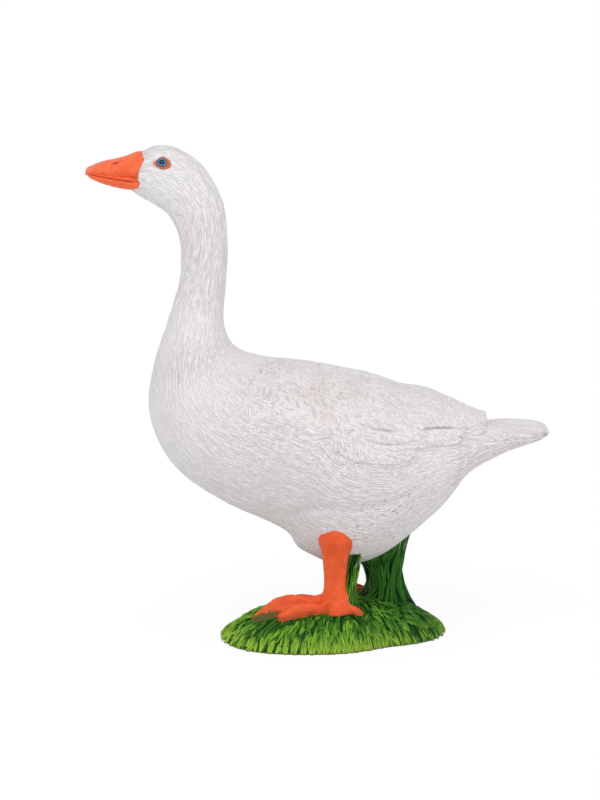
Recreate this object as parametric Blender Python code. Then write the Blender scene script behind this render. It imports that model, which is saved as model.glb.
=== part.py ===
"""A white farm goose standing on a turf base: a small figurine moulded in one piece.

The bird faces -X, its left side is -Y, and the origin is the centre of the base's flat underside.
Sizes are in millimetres, and the finished meshes are scaled to metres.
"""

import math
from typing import Callable, NamedTuple

import bmesh
import bpy
from mathutils import Vector
from mathutils.bvhtree import BVHTree

METRES_PER_MM = 0.001

# Turf base, whose outline is an uneven oval: its reach every 15 degrees round from the tail end,
# as shares of half its length
BASE_LENGTH = 33.6
BASE_OUTLINE = (
    1.0, 1.01, 0.99, 0.91, 0.82, 0.75, 0.71, 0.695, 0.71, 0.75, 0.83, 0.93,
    1.0, 1.03, 1.02, 0.94, 0.835, 0.755, 0.71, 0.685, 0.67, 0.69, 0.8, 0.94,
)
BASE_RIM = 0.6
TURF_HEIGHT = 5.8
FAR_SIDE_DROP = 0.35
FAR_SIDE_START = -3.0
FAR_SIDE_END = 7.0
BLADE_COLUMNS = 104
BLADE_ROWS = 7
BLADE_RELIEF = 0.45

# Bird: its height from the lowest point of the belly to the crown, the widest place of the body,
# the gap under the belly and the skin's mesh
BIRD_HEIGHT = 64.0
BODY_WIDTH = 29.2
BELLY_CLEARANCE = 5.4
SKIN_SEGMENTS = 26
SKIN_RINGS = 42

# Bill
BILL_LENGTH = 7.4
BILL_WIDTH = 4.5
BILL_DEPTH = 5.8
BILL_SEGMENTS = 12

# Eye
EYE_LID_LENGTH = 2.6
EYE_LID_HEIGHT = 2.0
EYE_LID_STAND = 0.22
EYEBALL_DIAMETER = 1.56
EYE_RUN = 1.52
EYE_TURN_DEGREES = 67.0

# Legs and feet
LEG_SPREAD = 12.8
LEFT_LEG_X = 0.2
RIGHT_LEG_X = 8.7
SHANK_DIAMETER = 3.3
HOCK_DIAMETER = 5.2
HOCK_SINK = 1.3
HOCK_SPLAY = 1.6
LEG_SEGMENTS = 12
TOE_LENGTH = 12.2
OUTER_TOE_LENGTH = 8.9
TOE_THICKNESS = 2.3
OUTER_TOE_THICKNESS = 1.6
TOE_SPREAD_DEGREES = 12.0
HIND_TOE_LENGTH = 4.4
WEB_LENGTH = 7.9
WEB_THICKNESS = 0.8

# Feathers laid on the skin: how far the proudest tips stand off it, how deep the roots and the
# undersides lie below it, and how much of a tip's stand is lost where two feathers meet
FEATHER_STAND = 2.0
FEATHER_ROOT_SINK = 0.12
FEATHER_DEPTH = 0.6
FEATHER_VALLEY = 0.38

# Grass that holds the belly up
TUFT_FLUTES = 16
TUFT_RELIEF = 0.4
TUFT_SINK = 0.9


class Paint(NamedTuple):
    """A coat of paint on the moulding."""

    name: str
    colour: tuple[float, float, float]
    roughness: float


WHITE = Paint("white_plumage", (0.82, 0.79, 0.79), 0.55)
ORANGE = Paint("orange_bill_and_legs", (0.85, 0.13, 0.025), 0.45)
BLUE = Paint("blue_eye", (0.06, 0.22, 0.50), 0.25)
GREEN = Paint("green_grass", (0.07, 0.25, 0.02), 0.55)


class Section(NamedTuple):
    """A slice across the bird, by its ends on the back line and the belly line, seen from the side.

    Both are in hundredths of the bird's height, forward of the base's centre where negative, and up
    from the lowest point of the belly. half_width is a share of half the body's width, and slim says
    how much narrower the slice is below than above.
    """

    name: str
    back: tuple[float, float]
    belly: tuple[float, float]
    half_width: float
    slim: float


BIRD = (
    Section("bill_root", (-45.0, 97.4), (-47.6, 89.2), 0.13, 0.0),
    Section("brow", (-41.0, 99.1), (-45.0, 87.3), 0.20, 0.0),
    Section("crown", (-36.1, 98.4), (-41.9, 85.5), 0.215, 0.0),
    Section("nape", (-30.2, 94.1), (-38.6, 83.1), 0.215, 0.0),
    Section("neck_top", (-26.1, 86.7), (-36.4, 79.1), 0.215, 0.0),
    Section("neck", (-24.8, 77.5), (-35.6, 73.8), 0.22, 0.0),
    Section("neck_low", (-25.2, 67.0), (-36.2, 66.7), 0.245, 0.0),
    Section("neck_root", (-25.8, 58.9), (-38.9, 58.0), 0.32, 0.0),
    Section("collar", (-25.0, 54.2), (-42.2, 47.8), 0.47, 0.0),
    Section("breast", (-21.7, 50.9), (-43.4, 36.4), 0.68, 0.0),
    Section("shoulder", (-15.9, 48.8), (-38.0, 24.3), 0.86, 0.05),
    Section("keel", (-6.6, 47.7), (-26.1, 15.4), 0.96, 0.14),
    Section("thigh_front", (1.4, 46.2), (-12.0, 8.4), 1.0, 0.24),
    Section("paunch_front", (5.6, 45.2), (-7.8, 3.4), 0.99, 0.3),
    Section("paunch", (11.7, 43.1), (1.2, -0.2), 0.95, 0.32),
    Section("vent_front", (16.1, 41.2), (10.3, 1.6), 0.88, 0.28),
    Section("vent", (21.1, 40.0), (17.7, 6.9), 0.76, 0.18),
    Section("rump", (27.2, 37.1), (25.3, 14.1), 0.61, 0.1),
    Section("tail_root", (34.2, 34.0), (31.4, 22.0), 0.50, 0.05),
    Section("tail", (40.5, 33.8), (39.7, 27.2), 0.45, 0.0),
    Section("tail_end", (47.6, 33.1), (47.9, 30.3), 0.35, 0.0),
    Section("tail_tip", (50.2, 32.2), (50.4, 31.5), 0.13, 0.0),
)


class BillSlice(NamedTuple):
    """A slice across the bill: how far ahead of its root, as a share of the bill's length, its reach
    above and below the mouth, as shares of its depth, and a share of half its width."""

    ahead: float
    above: float
    below: float
    half_width: float


BILL = (
    BillSlice(-0.25, 0.76, 0.21, 1),
    BillSlice(0, 0.74, 0.26, 1),
    BillSlice(0.33, 0.53, 0.28, 0.88),
    BillSlice(0.65, 0.38, 0.26, 0.74),
    BillSlice(0.84, 0.26, 0.19, 0.58),
    BillSlice(0.96, 0.16, 0.09, 0.38),
    BillSlice(1, 0.09, 0.03, 0.13),
)
MOUTH_ROOT = (-46.1, 91.1)
MOUTH_RISE_DEGREES = 8.0
MOUTH_OVERLAP = 0.08
UPPER_OVERHANG = 0.12


class FeatherRow(NamedTuple):
    """A row of feathers on one side, from its lowest tip to its highest. A tip is a run along the
    sections, a turn in degrees from the back line and a share of the proudest tips' stand. Length
    and roundness are in sections."""

    name: str
    count: int
    lowest: tuple[float, float, float]
    highest: tuple[float, float, float]
    length: float
    roundness: float


FEATHER_ROWS = (
    FeatherRow("tail_feathers", 3, (20.1, 62.0, 0.2), (20.75, 12.0, 0.2), 2.4, 0.35),
    FeatherRow("flight_feathers", 4, (17.3, 56.0, 0.4), (18.35, 11.0, 0.8), 2.7, 0.6),
    FeatherRow("tertials", 3, (16.3, 42.0, 0.45), (16.9, 10.0, 0.5), 2.0, 0.5),
    FeatherRow("great_coverts", 5, (15.85, 66.0, 0.32), (15.0, 15.0, 0.3), 2.2, 0.45),
    FeatherRow("median_coverts", 5, (14.1, 62.0, 0.22), (13.85, 14.0, 0.22), 1.5, 0.4),
    FeatherRow("lesser_coverts", 5, (13.2, 63.0, 0.17), (12.85, 16.0, 0.17), 1.2, 0.35),
    FeatherRow("shoulder_scales", 5, (12.35, 62.0, 0.15), (12.05, 18.0, 0.15), 1.0, 0.32),
    FeatherRow("wing_bend_scales", 4, (11.55, 58.0, 0.13), (11.3, 24.0, 0.13), 0.9, 0.3),
)


class Tuft(NamedTuple):
    """A clump of grass between the turf and the belly, as an oval column that spreads at both ends.

    Its centre, its half sizes along and across, and its lean are in hundredths of the base's length.
    """

    name: str
    centre: tuple[float, float]
    waist: tuple[float, float]
    foot: tuple[float, float]
    head: tuple[float, float]
    lean: float


TUFTS = (
    Tuft("rear_tuft", (21.4, 6.5), (7.4, 11.6), (16.1, 16.1), (11.0, 13.7), 4.5),
    Tuft("leg_tuft", (7.3, -16.1), (2.2, 4.0), (5.0, 6.2), (2.2, 3.7), 3.0),
)

Place = Callable[[float, float], Vector]


def spline(rows: list[tuple[float, ...]], at: float) -> list[float]:
    """Read a smooth curve through rows of numbers, at a place counted in rows."""
    last = len(rows) - 1
    start = min(max(int(at), 0), last - 1)
    u = at - start
    near = [rows[min(max(start + k, 0), last)] for k in (-1, 0, 1, 2)]
    return [
        b + 0.5 * u * (c - a + u * (2 * a - 5 * b + 4 * c - d + u * (3 * (b - c) + d - a)))
        for a, b, c, d in zip(*near)
    ]


class Skin:
    """The plain outer form of the bird, from the root of the bill to the tip of the tail."""

    def __init__(self, lift: float) -> None:
        half = BODY_WIDTH / 2
        unit = BIRD_HEIGHT / 100
        self.rows = [
            (
                s.back[0] * unit,
                s.back[1] * unit + lift,
                s.belly[0] * unit,
                s.belly[1] * unit + lift,
                s.half_width * half,
                s.slim,
            )
            for s in BIRD
        ]
        self.last = len(BIRD) - 1

    def point(self, run: float, turn: float) -> Vector:
        """The point at a run counted in sections and a turn in radians, from the back to the left."""
        back_x, back_z, belly_x, belly_z, half, slim = spline(self.rows, run)
        up = math.cos(turn)
        return Vector((
            (back_x + belly_x + (back_x - belly_x) * up) / 2,
            -half * math.sin(turn) * (1 + slim * up),
            (back_z + belly_z + (back_z - belly_z) * up) / 2,
        ))

    def frame(self, run: float, turn: float) -> tuple[Vector, Vector, Vector]:
        """The point, its change for one step of turn, and the normal that points out."""
        step = 0.01
        here = self.point(run, turn)
        run = min(max(run, step), self.last - step)
        along = self.point(run + step, turn) - self.point(run - step, turn)
        around = (self.point(run, turn + step) - self.point(run, turn - step)) / (2 * step)
        return here, around, around.cross(along).normalized()

    def middle(self, run: float) -> Vector:
        """The middle of the slice at a run."""
        return (self.point(run, 0) + self.point(run, math.pi)) / 2


def turf_reach(angle: float) -> float:
    """How far the base's outline is from its centre, at an angle seen from above."""
    count = len(BASE_OUTLINE)
    place = angle / math.tau * count % count
    around = [(BASE_OUTLINE[(int(place) + k) % count],) for k in (-1, 0, 1, 2)]
    return spline(around, 1 + place % 1)[0] * BASE_LENGTH / 2


def turf_height(x: float, y: float) -> float:
    """The height of the smooth turf under a point: steep at the sides and lower on the right side."""
    angle = math.atan2(y, x)
    steepness = 3.1 + 1.9 * math.sin(angle) ** 2 + 0.5 * math.cos(angle)
    share = math.hypot(x, y) / turf_reach(angle)
    fall = min(1.0, max(0.0, (y - FAR_SIDE_START) / (FAR_SIDE_END - FAR_SIDE_START)))
    top = TURF_HEIGHT * (1 - FAR_SIDE_DROP * fall * fall * (3 - 2 * fall))
    return BASE_RIM + (top - BASE_RIM) * max(0.0, 1 - share**steepness)


def solid_object(name: str, bm: bmesh.types.BMesh, paint: Paint) -> bpy.types.Object:
    """Close a mesh as an object in metres, smooth apart from its sharp edges."""
    bmesh.ops.recalc_face_normals(bm, faces=bm.faces)
    bmesh.ops.scale(bm, vec=Vector((METRES_PER_MM,) * 3), verts=bm.verts)
    mesh = bpy.data.meshes.new(name)
    bm.to_mesh(mesh)
    bm.free()
    mesh.shade_smooth()
    mesh.set_sharp_from_angle(angle=math.radians(38))
    mesh.materials.append(paint_material(paint))
    made = bpy.data.objects.new(name, mesh)
    bpy.context.scene.collection.objects.link(made)
    return made


def paint_material(paint: Paint) -> bpy.types.Material:
    """The material of a paint, made once."""
    made = bpy.data.materials.get(paint.name)
    if made is None:
        made = bpy.data.materials.new(paint.name)
        made.use_nodes = True
        shader = made.node_tree.nodes["Principled BSDF"]
        shader.inputs["Base Color"].default_value = (*paint.colour, 1)
        shader.inputs["Roughness"].default_value = paint.roughness
        shader.inputs["Metallic"].default_value = 0
    return made


def ball_form(name: str, segments: int, rings: int, place: Place, paint: Paint) -> bpy.types.Object:
    """Lay the rings of a ball along a form: place gives the point for a ring and an angle in radians."""
    bm = bmesh.new()
    bmesh.ops.create_uvsphere(bm, u_segments=segments, v_segments=rings, radius=1)
    for vertex in bm.verts:
        ring = round(math.acos(max(-1.0, min(1.0, vertex.co.z))) / math.pi * rings)
        vertex.co = place(ring, math.atan2(vertex.co.y, vertex.co.x))
    return solid_object(name, bm, paint)


def slab_form(
    name: str, columns: int, rows: int, top: Place, bottom: Place, paint: Paint
) -> bpy.types.Object:
    """Lay a grid over a form and thicken it. top and bottom take shares of the way along and across."""
    bm = bmesh.new()
    bmesh.ops.create_grid(bm, x_segments=columns, y_segments=rows, size=1)
    made = bmesh.ops.extrude_face_region(bm, geom=bm.faces[:])["geom"]
    raised = {v for v in made if isinstance(v, bmesh.types.BMVert)}
    for vertex in bm.verts:
        place = top if vertex in raised else bottom
        vertex.co = place((vertex.co.x + 1) / 2, vertex.co.y)
    return solid_object(name, bm, paint)


def make_body(skin: Skin) -> bpy.types.Object:
    """Head, neck, body and tail in one loft through the bird's sections."""

    def place(ring: int, turn: float) -> Vector:
        if ring in (0, SKIN_RINGS):
            return skin.middle(0 if ring == 0 else skin.last)
        return skin.point((ring - 1) / (SKIN_RINGS - 2) * skin.last, turn)

    return ball_form("goose_figurine", SKIN_SEGMENTS, SKIN_RINGS, place, WHITE)


def make_bill(lift: float) -> list[bpy.types.Object]:
    """The upper and the lower half of the bill, which meet along the mouth."""
    rise = math.radians(MOUTH_RISE_DEGREES)
    forward = Vector((-math.cos(rise), 0, math.sin(rise)))
    upward = Vector((math.sin(rise), 0, math.cos(rise)))
    root = Vector((MOUTH_ROOT[0], 0, MOUTH_ROOT[1])) * BIRD_HEIGHT / 100 + Vector((0, 0, lift))
    rings = 2 * len(BILL)

    def half_bill(name: str, above: Callable, below: Callable, narrow: float) -> bpy.types.Object:
        def place(ring: int, turn: float) -> Vector:
            share = min(max((ring - 1) / (rings - 2), 0), 1) * (len(BILL) - 1)
            piece = BillSlice(*spline(BILL, share))
            top, low = above(piece), below(piece)
            closed = 0 if ring in (0, rings) else 1
            side = math.sin(turn) * piece.half_width * (BILL_WIDTH / 2 - narrow) * closed
            height = ((top + low) / 2 + (top - low) / 2 * math.cos(turn) * closed) * BILL_DEPTH
            return root + forward * piece.ahead * BILL_LENGTH + upward * height + Vector((0, side, 0))

        return ball_form(name, BILL_SEGMENTS, rings, place, ORANGE)

    return [
        half_bill("upper_bill", lambda s: s.above, lambda s: -MOUTH_OVERLAP / 4, 0),
        half_bill("lower_bill", lambda s: MOUTH_OVERLAP * s.half_width, lambda s: -s.below, UPPER_OVERHANG),
    ]


def make_eye(skin: Skin, side: int) -> list[bpy.types.Object]:
    """The almond lid and the ball of one eye."""
    spot, _, normal = skin.frame(EYE_RUN, side * math.radians(EYE_TURN_DEGREES))
    upward = Vector((0, 0, 1))
    upward = (upward - normal * upward.dot(normal)).normalized()
    forward = upward.cross(normal)

    def lid(ring: int, turn: float) -> Vector:
        height = math.cos(math.pi * ring / 8)
        spread = math.sin(math.pi * ring / 8)
        long = EYE_LID_LENGTH / 2 * spread * math.cos(turn)
        tall = EYE_LID_HEIGHT / 2 * spread * math.sin(turn)
        return spot + forward * long + upward * tall + normal * EYE_LID_STAND * 1.6 * height

    def ball(ring: int, turn: float) -> Vector:
        radius = EYEBALL_DIAMETER / 2
        height = math.cos(math.pi * ring / 8)
        spread = math.sin(math.pi * ring / 8) * radius
        out = normal * (EYE_LID_STAND * 0.6 + height * radius * 0.62)
        return spot + forward * spread * math.cos(turn) + upward * spread * math.sin(turn) + out

    hand = "left" if side > 0 else "right"
    return [
        ball_form(f"{hand}_eye_lid", 14, 8, lid, ORANGE),
        ball_form(f"{hand}_eyeball", 12, 8, ball, BLUE),
    ]


def make_feathers(skin: Skin, row: FeatherRow, side: int) -> bpy.types.Object:
    """A row of feathers as one scalloped slab, which starts in the skin and lifts off it."""

    def on_skin(along: float, across: float, top: bool) -> Vector:
        place = (across + 1) / 2 * row.count
        from_middle = 2 * (place - min(int(place), row.count - 1)) - 1
        share = (place - 0.5) / (row.count - 1)
        tip, turn, stand = (low + (high - low) * share for low, high in zip(row.lowest, row.highest))
        run = tip - row.length * (1 - along) - row.roundness * along * from_middle**2
        here, _, normal = skin.frame(run, side * math.radians(turn))
        if not top:
            return here - normal * FEATHER_DEPTH
        lift = stand * FEATHER_STAND * along * (1 - FEATHER_VALLEY * from_middle**2)
        return here + normal * (lift - FEATHER_ROOT_SINK * (1 - along))

    hand = "left" if side > 0 else "right"
    return slab_form(
        f"{hand}_{row.name}",
        3,
        4 * row.count,
        lambda along, across: on_skin(along, across, True),
        lambda along, across: on_skin(along, across, False),
        WHITE,
    )


def make_leg(body: BVHTree, side: int, x: float) -> list[bpy.types.Object]:
    """One leg: the hock and shank, the webbed foot and the hind toe."""
    hand = "left" if side > 0 else "right"
    y = -side * LEG_SPREAD / 2
    ground = turf_height(x, y)
    hock = belly_height(body, x, y - side * HOCK_SPLAY) + HOCK_SINK
    shank = SHANK_DIAMETER / 2
    knob = HOCK_DIAMETER / 2
    profile = [
        (ground - shank * 0.4, shank * 1.5),
        (ground + shank * 0.7, shank * 1.4),
        (ground + shank * 1.4, shank * 1.05),
        (ground + shank * 3.0, shank * 0.97),
        (hock - knob * 0.9, shank * 1.25),
        (hock, knob),
        (hock + knob * 0.6, knob * 0.84),
        (hock + knob * 0.85, knob * 0.4),
    ]
    rings = len(profile) + 2

    def place(ring: int, turn: float) -> Vector:
        share = min(max((ring - 1) / (rings - 2), 0), 1) * (len(profile) - 1)
        height, radius = spline(profile, share)
        radius *= 0 if ring in (0, rings) else 1
        splay = side * HOCK_SPLAY * min(1, max(0, (height - ground) / (hock - ground))) ** 2
        return Vector((
            x + radius * math.cos(turn), y - splay + radius * math.sin(turn) * 0.92, height
        ))

    ankle = Vector((x + shank * 0.2, y, 0))
    return [
        ball_form(f"{hand}_shank", LEG_SEGMENTS, rings, place, ORANGE),
        make_foot(f"{hand}_foot", ankle),
        make_hind_toe(f"{hand}_hind_toe", ankle),
    ]


def make_foot(name: str, ankle: Vector) -> bpy.types.Object:
    """Three toes that fan out over the turf from the ankle, with the web between them."""

    def spot(along: float, across: float, top: bool) -> Vector:
        fan = across * 1.25
        toe = math.cos(math.tau * fan) * 0.5 + 0.5
        longest = TOE_LENGTH + (OUTER_TOE_LENGTH - TOE_LENGTH) * min(1, abs(fan))
        distance = (WEB_LENGTH + (longest - WEB_LENGTH) * toe) * along
        heading = math.radians(180 + TOE_SPREAD_DEGREES * fan)
        x = ankle.x + distance * math.cos(heading)
        y = ankle.y + distance * math.sin(heading) - fan * (1 - along)
        knuckle = 1 + 0.16 * math.cos(math.tau * 1.5 * along)
        full = TOE_THICKNESS + (OUTER_TOE_THICKNESS - TOE_THICKNESS) * min(1, abs(fan))
        thick = WEB_THICKNESS + (full * knuckle - WEB_THICKNESS) * toe
        height = thick * (1.1 - 0.5 * along**5) if top else -TOE_THICKNESS / 2
        return Vector((x, y, turf_height(x, y) + height))

    return slab_form(
        name,
        6,
        10,
        lambda along, across: spot(along, across, True),
        lambda along, across: spot(along, across, False),
        ORANGE,
    )


def make_hind_toe(name: str, ankle: Vector) -> bpy.types.Object:
    """The short toe behind the ankle, which tapers to the turf."""
    rings = 6

    def place(ring: int, turn: float) -> Vector:
        share = ring / rings
        radius = TOE_THICKNESS / 2 * math.sqrt(1 - (2 * share - 1) ** 4) * (1.3 - 0.7 * share)
        x = ankle.x + HIND_TOE_LENGTH * share
        height = turf_height(x, ankle.y) + TOE_THICKNESS * 0.4 * (1 - share)
        return Vector((x, ankle.y + radius * math.cos(turn), height + radius * math.sin(turn)))

    return ball_form(name, 8, rings, place, ORANGE)


def make_turf() -> bpy.types.Object:
    """The domed base, with leaf-shaped ridges of grass down its sides and a flat underside."""
    dome_rings = BLADE_ROWS + 1
    rings = dome_rings + 2
    inner = 0.34

    def place(ring: int, turn: float) -> Vector:
        if ring >= dome_rings:
            reach = 0 if ring == rings else turf_reach(turn) * (0.985 if ring > dome_rings else 1)
            height = BASE_RIM * 0.5 if ring == dome_rings else 0
            return Vector((reach * math.cos(turn), reach * math.sin(turn), height))
        if ring == 0:
            return Vector((0, 0, turf_height(0, 0)))
        share = inner + (1 - inner) * ((ring - 1) / (dome_rings - 1)) ** 0.75
        column = round(turn / math.tau * BLADE_COLUMNS)
        blade = BLADE_RELIEF * (0.5 if (column + ring) % 2 else -0.5)
        reach = turf_reach(turn) * share
        x, y = reach * math.cos(turn), reach * math.sin(turn)
        out = blade * share**2
        height = turf_height(x, y) + blade * 0.6
        return Vector((x + out * math.cos(turn), y + out * math.sin(turn), height))

    return ball_form("turf", BLADE_COLUMNS, rings, place, GREEN)


def make_tuft(body: BVHTree, tuft: Tuft) -> bpy.types.Object:
    """A fluted clump of grass that grows out of the turf and up to the belly all round its top."""
    unit = BASE_LENGTH / 100
    x, y = tuft.centre[0] * unit, tuft.centre[1] * unit
    low = max(0.3, turf_height(x, y + tuft.foot[1] * unit) - TUFT_SINK)
    levels = [tuft.foot, tuft.waist, tuft.waist, tuft.head]
    rings = 7

    def spot(share: float, turn: float, flute: float, closed: bool) -> tuple[float, float]:
        half_x, half_y = (half * unit for half in spline(levels, share * (len(levels) - 1)))
        if closed:
            half_x = half_y = flute = 0
        lean = tuft.lean * unit * share**2
        return x + lean + (half_x + flute) * math.cos(turn), y + (half_y + flute) * math.sin(turn)

    def place(ring: int, turn: float) -> Vector:
        share = min(max((ring - 1) / (rings - 2), 0), 1)
        column = round(turn / math.tau * 2 * TUFT_FLUTES)
        flute = TUFT_RELIEF * (0.5 if column % 2 else -0.5)
        here = spot(share, turn, flute, ring in (0, rings))
        top = spot(1, turn, flute, ring in (0, rings))
        high = belly_height(body, *top) + TUFT_SINK
        return Vector((*here, low + (high - low) * share))

    return ball_form(tuft.name, 2 * TUFT_FLUTES, rings, place, GREEN)


def belly_height(body: BVHTree, x: float, y: float) -> float:
    """The height of the bird's underside over a place on the turf."""
    below = Vector((x, y, 0)) * METRES_PER_MM
    return body.ray_cast(below, Vector((0, 0, 1)))[0].z / METRES_PER_MM


def mould(body: bpy.types.Object, pieces: list[bpy.types.Object]) -> None:
    """Join every form into the body as one moulding, each keeping its paint."""
    forms = bpy.data.collections.new("forms")
    bpy.context.scene.collection.children.link(forms)
    for piece in pieces:
        bpy.context.scene.collection.objects.unlink(piece)
        forms.objects.link(piece)
        piece.hide_render = True
        piece.display_type = "WIRE"
    union = body.modifiers.new("moulding", "BOOLEAN")
    union.operation = "UNION"
    union.solver = "EXACT"
    union.operand_type = "COLLECTION"
    union.collection = forms
    union.material_mode = "TRANSFER"


def main() -> None:
    """Clear the scene and build the figurine."""
    for old in list(bpy.data.objects):
        bpy.data.objects.remove(old)
    lift = TURF_HEIGHT + BELLY_CLEARANCE
    skin = Skin(lift)
    body = make_body(skin)
    skin_tree = BVHTree.FromPolygons(
        [v.co for v in body.data.vertices], [p.vertices for p in body.data.polygons]
    )
    pieces = [*make_bill(lift), make_turf()]
    for side, leg_x in ((1, LEFT_LEG_X), (-1, RIGHT_LEG_X)):
        pieces += make_eye(skin, side)
        pieces += make_leg(skin_tree, side, leg_x)
        pieces += [make_feathers(skin, row, side) for row in FEATHER_ROWS]
    pieces += [make_tuft(skin_tree, tuft) for tuft in TUFTS]
    mould(body, pieces)


main()
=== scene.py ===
"""The looks of a moulded and hand-painted goose that stands on a base of turf.

Sizes are in millimetres and finished meshes in metres. The bird faces -X and its left side is -Y.
"""

import logging
import math
from dataclasses import dataclass
from enum import Enum
from typing import Any

import bmesh
import bpy
import numpy as np
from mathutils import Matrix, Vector
from mathutils.bvhtree import BVHTree

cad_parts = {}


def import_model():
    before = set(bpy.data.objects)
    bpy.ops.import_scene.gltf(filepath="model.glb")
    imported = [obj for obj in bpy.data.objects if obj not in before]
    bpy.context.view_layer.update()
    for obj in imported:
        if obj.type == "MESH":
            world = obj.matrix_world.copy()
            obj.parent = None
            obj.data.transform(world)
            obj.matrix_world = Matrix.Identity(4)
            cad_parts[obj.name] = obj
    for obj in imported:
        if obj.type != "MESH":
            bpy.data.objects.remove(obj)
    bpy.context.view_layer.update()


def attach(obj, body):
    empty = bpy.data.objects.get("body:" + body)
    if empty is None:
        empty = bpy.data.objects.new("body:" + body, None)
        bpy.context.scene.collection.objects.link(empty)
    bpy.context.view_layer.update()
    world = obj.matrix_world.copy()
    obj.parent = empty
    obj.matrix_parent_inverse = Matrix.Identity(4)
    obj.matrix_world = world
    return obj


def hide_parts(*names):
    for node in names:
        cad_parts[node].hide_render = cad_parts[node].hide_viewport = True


METRES = 0.001
NODE = "goose_figurine"
BODY = "root"

LOG = logging.getLogger("goose")

Colour = tuple[float, float, float]
Array = np.ndarray
Marks = dict[str, Array]
Mesh = bpy.types.Mesh
Material = bpy.types.Material
Socket = bpy.types.NodeSocket


class Side(Enum):
    """A side of the bird, by the sign of its turns about the body."""

    LEFT = 1
    RIGHT = -1

    @property
    def word(self) -> str:
        """The side's name in lower case."""
        return self.name.lower()


class Slot(Enum):
    """The record's material slots."""

    PLUMAGE = "plumage"
    ORANGE = "bill_and_legs"
    GRASS = "grass"
    EYE = "eye"


# Number helpers


def curve(rows: Array, at: Array) -> Array:
    """Read smooth curves through rows of numbers.

    Args:
        rows: One row for each place, one column for each curve.
        at: Places counted in rows.

    Returns:
        The curves' values, with one more axis than at.
    """
    at = np.asarray(at, dtype=float)
    last = len(rows) - 1
    start = np.clip(at.astype(int), 0, last - 1)
    u = (at - start)[..., None]
    a, b, c, d = (rows[np.clip(start + k, 0, last)] for k in (-1, 0, 1, 2))
    return b + 0.5 * u * (c - a + u * (2 * a - 5 * b + 4 * c - d + u * (3 * (b - c) + d - a)))


def rise(value: Array, low: float, high: float) -> Array:
    """A smooth step from 0 at low to 1 at high."""
    share = np.clip((value - low) / (high - low), 0, 1)
    return share * share * (3 - 2 * share)


def hill(value: Array, centre: float, reach: float) -> Array:
    """A smooth hill of height 1 about a centre."""
    return np.exp(-(((value - centre) / reach) ** 2))


def unit(vectors: Array) -> Array:
    """The vectors at length 1."""
    return vectors / np.maximum(np.linalg.norm(vectors, axis=-1, keepdims=True), 1e-12)


def hollows(height: Array, reach: int, closed: bool) -> Array:
    """How far each place of a height field lies below its surroundings.

    Args:
        height: The field, along by across.
        reach: How many cells the surroundings reach.
        closed: Whether the second axis goes right round.

    Returns:
        Depths in the field's own unit, positive where the field is sunk.
    """
    mean = height
    for axis in (0, 1):
        mode = "wrap" if closed and axis == 1 else "edge"
        widths = [(reach, reach) if k == axis else (0, 0) for k in (0, 1)]
        padded = np.pad(mean, widths, mode=mode)
        total = np.cumsum(padded, axis=axis)
        total = np.insert(total, 0, 0, axis=axis)
        size = 2 * reach + 1
        high = np.take(total, range(size, total.shape[axis]), axis=axis)
        low = np.take(total, range(0, total.shape[axis] - size), axis=axis)
        mean = (high - low) / size
    return mean - height


class Relief:
    """Smooth random relief over a plane, the same each time."""

    def __init__(self, seed: int) -> None:
        """Draw the relief's table.

        Args:
            seed: Picks the table.
        """
        self.table = np.random.default_rng(seed).random((256, 256)) * 2 - 1

    def at(self, x: Array, y: Array, wrap: int = 256) -> Array:
        """Read the relief.

        Args:
            x: Places across, in lumps of the relief.
            y: Places along, in lumps of the relief.
            wrap: How many lumps across before the relief repeats.

        Returns:
            Heights from -1 to 1.
        """
        left, low = np.floor(x).astype(int), np.floor(y).astype(int)
        u, v = x - left, y - low
        u, v = u * u * (3 - 2 * u), v * v * (3 - 2 * v)
        columns = (left % wrap, (left + 1) % wrap)
        rows = (low % 256, (low + 1) % 256)
        first = self.table[columns[0], rows[0]] * (1 - u) + self.table[columns[1], rows[0]] * u
        second = self.table[columns[0], rows[1]] * (1 - u) + self.table[columns[1], rows[1]] * u
        return first * (1 - v) + second * v


# Mesh helpers


def shape_mesh(bm: bmesh.types.BMesh, name: str = "form") -> Mesh:
    """A shape as a mesh. The shape is freed.

    Args:
        bm: The shape.
        name: The mesh's name.

    Returns:
        The mesh.
    """
    mesh = bpy.data.meshes.new(name)
    bm.to_mesh(mesh)
    bm.free()
    return mesh


def new_object(name: str, data: Any) -> bpy.types.Object:
    """A new object in the scene, for a mesh, a camera or a light."""
    made = bpy.data.objects.new(name, data)
    bpy.context.scene.collection.objects.link(made)
    return made


def ball_place(vertex: bmesh.types.BMVert) -> tuple[float, float]:
    """Where a vertex is on a ball: from 0 to 1 between its poles, and its angle about the axis."""
    share = math.acos(max(-1.0, min(1.0, vertex.co.z))) / math.pi
    return share, math.atan2(vertex.co.y, vertex.co.x)


def ball(segments: int, rings: int) -> tuple[Mesh, Array, Array]:
    """A ball whose rings are to be laid along a form.

    Args:
        segments: How many sides each ring has.
        rings: How many steps there are from pole to pole.

    Returns:
        The mesh, each vertex's ring and its angle about the axis.
    """
    bm = bmesh.new()
    bmesh.ops.create_uvsphere(bm, u_segments=segments, v_segments=rings, radius=1)
    mesh = shape_mesh(bm)
    places = coordinates(mesh)
    ring = np.rint(np.arccos(np.clip(places[:, 2], -1, 1)) / math.pi * rings).astype(int)
    return mesh, ring, np.arctan2(places[:, 1], places[:, 0])


def ring_share(ring: Array, rings: int) -> Array:
    """How far along a form each ring of a ball lies, with each pole level with the ring beside it."""
    return np.clip((ring - 1) / (rings - 2), 0, 1)


def coordinates(mesh: Mesh) -> Array:
    """The mesh's vertices, one row each."""
    flat = np.empty(len(mesh.vertices) * 3)
    mesh.vertices.foreach_get("co", flat)
    return flat.reshape(-1, 3)


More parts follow.
